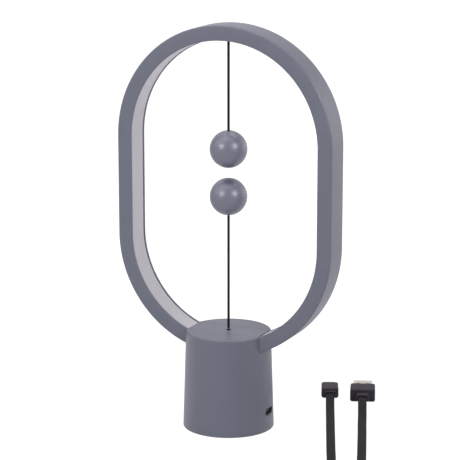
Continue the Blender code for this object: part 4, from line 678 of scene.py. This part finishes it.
def overmould(neck, neck_length, body, tip, shell, edge):
    """Rings of a plug's rubber: from the recess that the cable stands in, out round the neck, over
    the shoulder to the body, and back into the pocket that holds the metal shell."""
    recess = (CABLE_WIDTH / 2 + RECESS_ROOM, CABLE_THICKNESS / 2 + RECESS_ROOM, RECESS_EDGE)
    wide, high = body
    pocket = (shell[0] + POCKET_ROOM, shell[1] + POCKET_ROOM, shell[1] * POCKET_EDGE_SHARE)
    shoulder = (wide * SHOULDER_SHARE, high * SHOULDER_SHARE, SHOULDER_EDGE)
    corners = np.array((
        (RECESS_DEPTH, 0, 0, 0), (RECESS_DEPTH, *recess), (0, *recess), (0, *neck, NECK_EDGE),
        (neck_length, *neck, NECK_EDGE), (neck_length, *shoulder),
        (neck_length + SHOULDER_LENGTH, wide, high, edge),
        (tip, wide * TIP_SHARE, high * TIP_SHARE, edge), (tip, *pocket),
        (tip - POCKET_DEPTH, *pocket), (tip - POCKET_DEPTH, 0, 0, 0),
    ))
    return loft(rounded(corners, OVERMOULD_BENDS, 6, False), 14, 7)


def metal_shell(half, start, tip, corner, nose):
    """Rings of a plug's drawn metal sleeve, out along its outside, round its tip and back
    inside."""
    wide, high = half
    inner = (wide - SHELL_WALL, high - SHELL_WALL, max(corner - SHELL_WALL, WIDE_EASE))
    corners = np.array((
        (start, wide, high, corner), (tip - nose, wide, high, corner),
        (tip, wide - nose * NOSE_OUTER_SHARE, high - nose * NOSE_OUTER_SHARE, corner),
        (tip, inner[0] - nose * NOSE_INNER_SHARE, inner[1] - nose * NOSE_INNER_SHARE, inner[2]),
        (tip - nose, *inner), (start, *inner),
    ))
    return loft(rounded(corners, SHELL_BENDS, 5), 12, 8)


def dent(rings, depth, start, stop, half_width):
    """Sink the top face of a plug's rubber in a narrow valley along its middle: the depth falls
    off as the square of a cosine across it, and rises over its two ends."""
    x, y, z = rings[..., 0], rings[..., 1], rings[..., 2]
    across = np.cos(np.clip(y / half_width, -1, 1) * pi / 2) ** 2
    lengthwise = np.clip((x - start) / half_width, 0, 1) * np.clip((stop - x) / half_width, 0, 1)
    sunk = rings.copy()
    sunk[..., 2] = z - depth * across * lengthwise * (z > 0)
    return sunk


def make_plugs():
    made = []
    place = plug_frame(C_END_ROUTE, C_BODY_HALF[1])
    body = overmould(C_NECK_HALF, C_NECK_LENGTH, C_BODY_HALF, C_BODY_TIP, C_SHELL_HALF, C_BODY_EDGE)
    body = dent(body, *C_DENT)
    made.append(piece("usb_c_plug_body", stand(body, *place), PLUG_RUBBER,
                      ["usb_c_plug_body"]))
    start = C_BODY_TIP - POCKET_DEPTH + SEAT_GAP
    shell = metal_shell(C_SHELL_HALF, start, C_SHELL_TIP, C_SHELL_HALF[1], C_NOSE)
    made.append(piece("usb_c_plug_shell", skin("shell", stand(shell, *place), True), PLUG_STEEL,
                      ["usb_c_plug_shell"]))
    place = plug_frame(A_END_ROUTE, A_BODY_HALF[1])
    body = overmould(A_NECK_HALF, A_NECK_LENGTH, A_BODY_HALF, A_BODY_TIP, A_SHELL_HALF, A_BODY_EDGE)
    made.append(piece("usb_a_plug_body", stand(body, *place), PLUG_RUBBER,
                      ["usb_a_plug_body"]))
    start = A_BODY_TIP - POCKET_DEPTH + SEAT_GAP
    shell = metal_shell(A_SHELL_HALF, start, A_SHELL_TIP, A_SHELL_EDGE, A_NOSE)
    shell = skin("shell", stand(shell, *place), True)
    for side in (-1, 1):
        half_long, half_wide = A_WINDOW[0] / 2, A_WINDOW[1] / 2
        x, y = A_WINDOW_PLACE[0], side * A_WINDOW_PLACE[1]
        stations = np.array(((x - half_long, half_wide, CUT_OVERRUN, FINEST_EASE),
                             (x + half_long, half_wide, CUT_OVERRUN, FINEST_EASE)))
        window = loft(stations) + np.array((0, y, A_SHELL_HALF[1]))
        shell = carve(shell, skin("window", stand(window, *place)))
    made.append(piece("usb_a_plug_shell", shell, PLUG_STEEL, ["usb_a_plug_shell"]))
    return made


plug_pieces = make_plugs()


def make_tie():
    """The band round the coil's turns: an outline in the upright plane across them, given its
    thickness and width by a small rounded section carried along it."""
    _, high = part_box("usb_cable_tie")
    out = np.array((cos(COIL_HEADING), sin(COIL_HEADING), 0.0))
    across = np.array((-out[1], out[0], 0.0))
    corners = np.array([v.co for v in nodes["usb_cable_tie"].data.vertices])
    reach = (corners - np.array((*COIL_CENTRE, 0))) @ out
    half, wide = TIE_HALF_THICKNESS, TIE_HALF_WIDTH
    near, far, top = reach.min() + half, reach.max() - half, high.z - half
    outline = rounded(((near, half), (far, half), (far, top), (near, top)), (TIE_BEND,) * 4, 8)
    ahead, behind = np.roll(outline, -1, 0), np.roll(outline, 1, 0)
    tangent = (ahead - behind) / np.linalg.norm(ahead - behind, axis=1, keepdims=True)
    normal = np.stack((tangent[:, 1], -tangent[:, 0]), 1)
    section = rounded(((-half, -wide), (half, -wide), (half, wide), (-half, wide)),
                      (FINE_EASE,) * 4, 3)
    flat = outline[:, None] + normal[:, None] * section[None, :, :1]
    rings = (np.array((*COIL_CENTRE, 0)) + flat[..., :1] * out
             + flat[..., 1:] * np.array((0, 0, 1.0)) + section[None, :, 1:] * across)
    return piece("usb_cable_tie", skin("tie", rings, True), BLACK_PLASTIC,
                 ["usb_cable_tie"])


tie = make_tie()


# Ring


def make_ring():
    front, back = -RING_HALF_DEPTH, RING_HALF_DEPTH
    thick, inside = RING_THICKNESS, RING_WALL
    seam = front + RING_WALL
    shell = rounded(((0, seam + RING_SEAM), (0, back), (thick, back), (thick, back - inside),
                     (inside, back - inside), (inside, seam + RING_SEAM)),
                    (0, BACK_EDGE, INNER_EDGE, FINE_EASE, WIDE_EASE, 0), 5)
    piece("ring_rear_shell", carry_round_ring(shell), GREY_PLASTIC,
          ["ring_rear_shell"])
    cover = rounded(((0, front + FRONT_BEVEL), (FRONT_BEVEL, front), (thick, front), (thick, seam),
                     (LIP_END, seam), (LIP_END, seam + LIP_REACH), (LIP_START, seam + LIP_REACH),
                     (LIP_START, seam), (0, seam)),
                    (FINE_EASE, FINE_EASE, INNER_EDGE, FINE_EASE, 0, EASE, EASE, 0, 0), 5)
    piece("ring_front_cover", carry_round_ring(cover), GREY_PLASTIC,
          ["ring_front_cover"])
    glow = rounded(((DIFFUSER_BACK, -DIFFUSER_HALF), (DIFFUSER_FACE, -DIFFUSER_HALF),
                    (DIFFUSER_FACE, DIFFUSER_HALF), (DIFFUSER_BACK, DIFFUSER_HALF)),
                   (0, EASE, EASE, 0), 4)
    top = RING_HIGH_CENTRE + RING_RADIUS - DIFFUSER_FACE
    hole = upright(DIFFUSER_HOLE, top - CUT_OVERRUN, top + DIFFUSER_HOLE_RISE)
    diffuser = carve(skin("diffuser", carry_round_ring(glow)), hole)
    piece("ring_diffuser", diffuser, DIFFUSER, ["ring_diffuser"])
    low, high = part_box("upper_cord_anchor")
    under, over = low.z + ANCHOR_FLANGE_LOW, low.z + ANCHOR_FLANGE_HIGH
    bore_top = low.z + ANCHOR_BORE_DEPTH
    anchor = rounded(((0, high.z), (ANCHOR_STEM, high.z), (ANCHOR_STEM, over), (ANCHOR_FLANGE, over),
                      (ANCHOR_FLANGE, under), (ANCHOR_STEM, under), (ANCHOR_STEM, low.z),
                      (ANCHOR_BORE, low.z), (ANCHOR_BORE, bore_top), (0, bore_top)),
                     (0, FINEST_EASE, 0, FINEST_EASE, FINEST_EASE, 0, EASE, EASE, WIDE_EASE, 0), 4,
                     False)
    piece("upper_cord_anchor", turn(anchor, 64), GREY_PLASTIC, ["upper_cord_anchor"])


make_ring()


# Balls


def globe(radius, low, high, steps=40):
    """(radius, height) points of a circle between two heights: radius r sin a and height r cos
    a."""
    angle = np.linspace(np.arccos(low / radius), np.arccos(high / radius), steps)
    return np.stack((radius * np.sin(angle), radius * np.cos(angle)), 1)


def corded_half():
    """Profile of the half that the cord enters: outside from the seam to the hole's eased edge,
    then back along the inside."""
    rim = CORD_BORE + BORE_EDGE
    outer = globe(BALL_RADIUS, 0, sqrt(BALL_RADIUS ** 2 - rim ** 2))
    swing = np.linspace(0, pi / 2, 6)[1:]
    edge_low = outer[-1, 1] - BORE_EDGE
    edge = np.stack((rim - BORE_EDGE * np.sin(swing), edge_low + BORE_EDGE * np.cos(swing)), 1)
    inner = globe(BALL_CAVITY, 0, sqrt(BALL_CAVITY ** 2 - CORD_BORE ** 2))
    return np.concatenate((outer, edge, inner[::-1]))


def magnet_half():
    """Profile of the other half: outside from its pole to the seam, down the lip that reaches into
    the corded half, and back along the inside to the pole."""
    lip_outer = BALL_CAVITY - SEAT_GAP
    lip_inner = lip_outer - BALL_LIP_WALL
    join = sqrt(BALL_CAVITY ** 2 - lip_inner ** 2)
    outer = globe(BALL_RADIUS, BALL_RADIUS, 0)
    lip = np.array(((lip_outer, 0), (lip_outer, -BALL_LIP), (lip_inner, -BALL_LIP)))
    inner = globe(BALL_CAVITY, join, BALL_CAVITY)
    return np.concatenate((outer, lip, inner))


def make_ball(name, centre, cord_side, body):
    """Two halves that meet at the middle, the magnet in one and the cord's knot in the other."""
    corded, other = ("top", "bottom") if cord_side > 0 else ("bottom", "top")
    for half, profile, side in ((corded, corded_half(), cord_side),
                                (other, magnet_half(), -cord_side)):
        rings = turn(profile * np.array((1, side)) + np.array((0, centre)), 128)
        mesh = skin("half", rings, profile[0, 0] > POLE_RADIUS)
        piece(f"{name}_ball_{half}_half", mesh, BALL_PLASTIC,
              [f"{name}_ball_{half}_half"], body)
    knot = centre + cord_side * (BALL_CAVITY - SEAT_GAP - KNOT_RADIUS)
    piece(f"{name}_cord_knot", wound_knot(knot, KNOT_RADIUS), BLACK_CORD,
          [f"{name}_cord_knot"], body, 60)
    low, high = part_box(f"{name}_magnet")
    disc = rounded(((0, low.z), (MAGNET_RADIUS, low.z), (MAGNET_RADIUS, high.z), (0, high.z)),
                   (0, WIDE_EASE, WIDE_EASE, 0), 4, False)
    piece(f"{name}_magnet", turn(disc, 96), NICKEL, [f"{name}_magnet"], body)


make_ball("upper", UPPER_BALL_HEIGHT, 1, "upper_pendulum")
make_ball("lower", LOWER_BALL_HEIGHT, -1, "lower_ball")


# Base


def base_radius(height):
    return BASE_FOOT_RADIUS + (BASE_TOP_RADIUS - BASE_FOOT_RADIUS) * height / BASE_TOP


def base_profile():
    """Outside from the top's middle over its eased edge and down the taper, round the foot's rim,
    and up the inside to the deck's underside. The taper has a line of points every few
    millimetres."""
    deck_low = BASE_TOP - DECK
    foot, under = base_radius(BASE_RIM), base_radius(deck_low)
    heights = np.arange(BASE_TOP - TAPER_MARGIN, TAPER_MARGIN, -TAPER_STEP)
    taper = [(base_radius(z), z) for z in heights]
    corners = ((0, BASE_TOP), (BASE_TOP_RADIUS, BASE_TOP), *taper, (foot, BASE_RIM),
               (foot - BASE_WALL, BASE_RIM), (under - BASE_WALL, deck_low), (0, deck_low))
    radii = (0, TOP_EDGE, *(0 for _ in taper), FOOT_EDGE, FOOT_EDGE, UNDER_EDGE, 0)
    return rounded(corners, radii, 8, False)


def make_base_shell():
    shell = skin("shell", turn(base_profile(), 256))
    reach = base_radius(BASE_RIM) - BASE_WALL - FOOT_POST_RADIUS + POST_OVERLAP
    spots = [(0, side * FRAME_POST_PLACE, FRAME_POST_RADIUS, FRAME_TOP + SEAT_GAP,
              BASE_TOP - DECK + POST_OVERLAP, FRAME_TOP + FRAME_BORE_DEPTH) for side in (-1, 1)]
    spots += [(reach * cos(radians(a)), reach * sin(radians(a)), FOOT_POST_RADIUS, FOOT_POST_LOW,
               FOOT_POST_HIGH, FOOT_BORE_TOP) for a in FOOT_POST_ANGLES]
    for x, y, radius, low, high, _ in spots:
        shell = carve(shell, upright(radius, low, high, x, y), "UNION")
    for x, y, _, low, _, bore_top in spots:
        shell = carve(shell, upright(SCREW_BORE, low - CUT_OVERRUN, bore_top, x, y))
    half = RING_HALF_DEPTH + GROOVE_CLEARANCE
    around = np.arange(512) * (2 * pi / 512)
    radius = RING_RADIUS + GROOVE_CLEARANCE
    circle = np.stack((radius * np.cos(around), 0 * around,
                       RING_LOW_CENTRE + radius * np.sin(around)), 1)
    groove = np.stack([circle + np.array((0, y, 0)) for y in (-half, half)])
    shell = carve(shell, skin("groove", groove))
    wide, high = PORT_SLEEVE[0] / 2 + PORT_ROOM[0], PORT_SLEEVE[1] / 2 + PORT_ROOM[1]
    edge = base_radius(PORT_HEIGHT)
    stations = np.array((
        (edge - PORT_INWARD, wide, high, high), (edge - PORT_FLARE_START, wide, high, high),
        (edge + CUT_OVERRUN, wide + PORT_FLARE, high + PORT_FLARE, high + PORT_FLARE),
    ))
    port = loft(stations, 12, 12) + np.array((0, 0, PORT_HEIGHT))
    shell = carve(shell, skin("port", port))
    piece("base_shell", shell, GREY_PLASTIC, ["base_shell"])


make_base_shell()


def make_slot_cover():
    """The flush band: flat on top, its underside an arc about the ring's lower centre, with a hole
    for the cord and two bosses below."""
    radius = RING_RADIUS - RING_THICKNESS - COVER_GAP
    half_angle = np.arccos((RING_LOW_CENTRE - BASE_TOP) / radius)
    angle = np.linspace(-half_angle, half_angle, 65) - pi / 2
    arc = np.stack((radius * np.cos(angle), 0 * angle, RING_LOW_CENTRE + radius * np.sin(angle)), 1)
    half_depth = RING_HALF_DEPTH - COVER_GAP
    cover = skin("cover", np.stack([arc + np.array((0, y, 0)) for y in (-half_depth, half_depth)]))
    top = BASE_TOP - COVER_THICKNESS
    for side in (-1, 1):
        place = side * COVER_POST_PLACE
        cover = carve(cover, upright(COVER_POST_RADIUS, COVER_POST_LOW, top, place), "UNION")
        cover = carve(cover, upright(SCREW_BORE, *COVER_BORE_SPAN, place))
    bush, mouth = BUSH_BORE + BUSH_WALL + SEAT_GAP, BUSH_BORE + CORD_HOLE_EDGE
    above = BASE_TOP + CUT_OVERRUN
    hole = rounded(((0, BUSH_HOLE_LOW), (bush, BUSH_HOLE_LOW), (bush, top), (BUSH_BORE, top),
                    (BUSH_BORE, BASE_TOP - CORD_HOLE_EDGE), (mouth, BASE_TOP), (mouth, above),
                    (0, above)),
                   (0, 0, 0, 0, WIDE_EASE, WIDE_EASE, 0, 0), 4, False)
    cover = carve(cover, skin("hole", turn(hole, 96)))
    piece("slot_cover", cover, GREY_PLASTIC, ["slot_cover"])
    low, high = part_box("cord_bush")
    outer = BUSH_BORE + BUSH_WALL
    sleeve = rounded(((BUSH_BORE, low.z), (outer, low.z), (outer, high.z), (BUSH_BORE, high.z)),
                     (WIDE_EASE,) * 4, 4)
    piece("cord_bush", skin("bush", turn(sleeve, 96), True), BLACK_PLASTIC,
          ["cord_bush"])


make_slot_cover()


def make_foot():
    low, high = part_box("foot_pad")
    pad = rounded(((0, low.z), (high.x, low.z), (high.x, high.z), (0, high.z)),
                  (0, WIDE_EASE, EASE, 0), 4, False)
    piece("foot_pad", turn(pad, 192), DARK_FOAM, ["foot_pad"])


make_foot()


def make_socket():
    """The socket in the base's side: a drawn cup with a round rim, and the tongue inside it."""
    low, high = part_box("usb_c_socket_shell")
    wide, tall = high.y, (high.z - low.z) / 2
    inner = (wide - SHELL_WALL, tall - SHELL_WALL, tall - SHELL_WALL)
    corners = np.array(((low.x, 0, 0, 0), (low.x, wide, tall, tall), (high.x, wide, tall, tall),
                        (high.x, *inner), (low.x + SOCKET_BACK, *inner),
                        (low.x + SOCKET_BACK, 0, 0, 0)))
    radii = (0, WIDE_EASE, SOCKET_RIM_EASE, SOCKET_RIM_EASE, 0, 0)
    rings = loft(rounded(corners, radii, 5, False), 12, 12)
    # The cup takes the painted shade steel, so the port's inside shows dark by its colour
    piece("usb_c_socket_shell", rings + np.array((0, 0, PORT_HEIGHT)), PAINTED_SHADE_STEEL,
          ["usb_c_socket_shell"])
    low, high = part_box("usb_c_socket_tongue")
    wide, tall = high.y, (high.z - low.z) / 2
    corners = np.array(((low.x, 0, 0, 0), (low.x, wide, tall, FINEST_EASE),
                        (high.x, wide, tall, FINEST_EASE), (high.x, 0, 0, 0)))
    rings = loft(rounded(corners, (0, 0, TONGUE_TIP_EASE, 0), 5, False), 8, 3)
    piece("usb_c_socket_tongue", rings + np.array((0, 0, PORT_HEIGHT)), BLACK_PLASTIC,
          ["usb_c_socket_tongue"])


make_socket()


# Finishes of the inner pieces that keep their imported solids


INNER_FINISHES = (
    (WHITE_NYLON, ("pull_slider", "switch_frame", "lead_socket", "usb_a_plug_tongue")),
    (BLACK_PLASTIC, ("switch_body", "driver_chip", "usb_c_plug_insert", "led_lead")),
    (STEEL, ("return_spring", "switch_lever", "capacitor", "cover_screw_1", "cover_screw_2",
             "cover_screw_3", "ballast_screw_1", "frame_screw_1", "frame_screw_2",
             "slot_cover_screw_1", "slot_cover_screw_2", "board_screw_1", "board_screw_2")),
    (CAST_IRON, ("ballast_weight",)),
    (GREEN_BOARD, ("main_board",)),
    (STRIP_BOARD, ("led_strip",)),
    (LEAD_RED, ("switch_lead", "switch_button")),
    (GREY_PLASTIC, ("base_bottom_cover",)),
    (BLACK_CORD, ("pull_cord_knot",)),
)
for made_finish, names in INNER_FINISHES:
    for node in names:
        nodes[node].material_slots[0].material = made_finish


# Floor, light and background

FLOOR_HALF = 6.0
FLOOR_HEIGHT = -0.0002
FLOOR_PALE = (0.94, 0.94, 0.96, 1)
FLOOR_SEEN = (0.18, 0.18, 0.18, 1)
FLOOR_GLOW = 0.97
STUDIO_LIT = 0.04
STUDIO_SHOWN = 1.0
LAMP_MIDDLE = (0, 0, 0.13)
# name, direction from the lamp's middle, distance, size across, power in watts
SOFT_BOXES = (
    ("key_left", (-0.3408, -0.8392, 0.4240), 1.2, 0.30, 6.2),
    ("key_right", (0.8292, -0.3364, 0.4572), 1.2, 0.30, 7.2),
    ("side_left", (-0.985, 0.02, 0.17), 1.5, 1.1, 0.7),
    ("side_right", (0.62, 0.77, 0.15), 1.5, 1.1, 4.0),
    ("overhead", (0.0, 0.1, 1.0), 2.0, 2.4, 32.0),
    ("overhead_left", (-0.62, -0.1, 0.78), 2.0, 3.0, 25.0),
)


def white_seen(tree, lit):
    """White for camera, mirror and clear rays, and the lit shader for all others."""
    path = tree.nodes.new("ShaderNodeLightPath")
    first = tree.nodes.new("ShaderNodeMath")
    first.operation = "MAXIMUM"
    tree.links.new(path.outputs["Is Camera Ray"], first.inputs[0])
    tree.links.new(path.outputs["Is Glossy Ray"], first.inputs[1])
    second = tree.nodes.new("ShaderNodeMath")
    second.operation = "MAXIMUM"
    tree.links.new(first.outputs[0], second.inputs[0])
    tree.links.new(path.outputs["Is Transmission Ray"], second.inputs[1])
    mix = tree.nodes.new("ShaderNodeMixShader")
    tree.links.new(second.outputs[0], mix.inputs["Fac"])
    tree.links.new(lit, mix.inputs[1])
    return mix


def make_floor():
    """A pale floor that shows white, with the lamp's soft shadow left faintly on it."""
    mesh = bpy.data.meshes.new("floor")
    corners = [(right * FLOOR_HALF, back * FLOOR_HALF, FLOOR_HEIGHT)
               for right, back in ((-1, -1), (1, -1), (1, 1), (-1, 1))]
    mesh.from_pydata(corners, [], [(0, 1, 2, 3)])
    floor = bpy.data.objects.new("floor", mesh)
    bpy.context.scene.collection.objects.link(floor)
    made = bpy.data.materials.new("floor")
    made.use_nodes = True
    tree = made.node_tree
    tree.nodes.clear()
    pale = tree.nodes.new("ShaderNodeBsdfDiffuse")
    pale.inputs["Color"].default_value = FLOOR_PALE
    seen = tree.nodes.new("ShaderNodeBsdfDiffuse")
    seen.inputs["Color"].default_value = FLOOR_SEEN
    glow = tree.nodes.new("ShaderNodeEmission")
    glow.inputs["Strength"].default_value = FLOOR_GLOW
    both = tree.nodes.new("ShaderNodeAddShader")
    tree.links.new(seen.outputs[0], both.inputs[0])
    tree.links.new(glow.outputs[0], both.inputs[1])
    mix = white_seen(tree, pale.outputs[0])
    tree.links.new(both.outputs[0], mix.inputs[2])
    output = tree.nodes.new("ShaderNodeOutputMaterial")
    tree.links.new(mix.outputs[0], output.inputs["Surface"])
    mesh.materials.append(made)


def make_world():
    world = bpy.data.worlds.new("studio")
    bpy.context.scene.world = world
    world.use_nodes = True
    tree = world.node_tree
    tree.nodes.clear()
    lit = tree.nodes.new("ShaderNodeBackground")
    lit.inputs["Strength"].default_value = STUDIO_LIT
    shown = tree.nodes.new("ShaderNodeBackground")
    shown.inputs["Strength"].default_value = STUDIO_SHOWN
    for background in (lit, shown):
        background.inputs["Color"].default_value = (1, 1, 1, 1)
    mix = white_seen(tree, lit.outputs[0])
    tree.links.new(shown.outputs[0], mix.inputs[2])
    output = tree.nodes.new("ShaderNodeOutputWorld")
    tree.links.new(mix.outputs[0], output.inputs["Surface"])


def make_lamp(name, direction, distance, size, power):
    """A round soft box that looks at the lamp's middle from a direction."""
    light = bpy.data.lights.new(name, "AREA")
    light.shape = "DISK"
    light.size = size
    light.energy = power
    made = bpy.data.objects.new(name, light)
    bpy.context.scene.collection.objects.link(made)
    toward = Vector(direction).normalized()
    made.location = Vector(LAMP_MIDDLE) + toward * distance
    made.rotation_mode = "QUATERNION"
    made.rotation_quaternion = toward.to_track_quat("Z", "Y")


make_floor()
make_world()
for soft_box in SOFT_BOXES:
    make_lamp(*soft_box)

view = bpy.context.scene.view_settings
view.view_transform = "Standard"
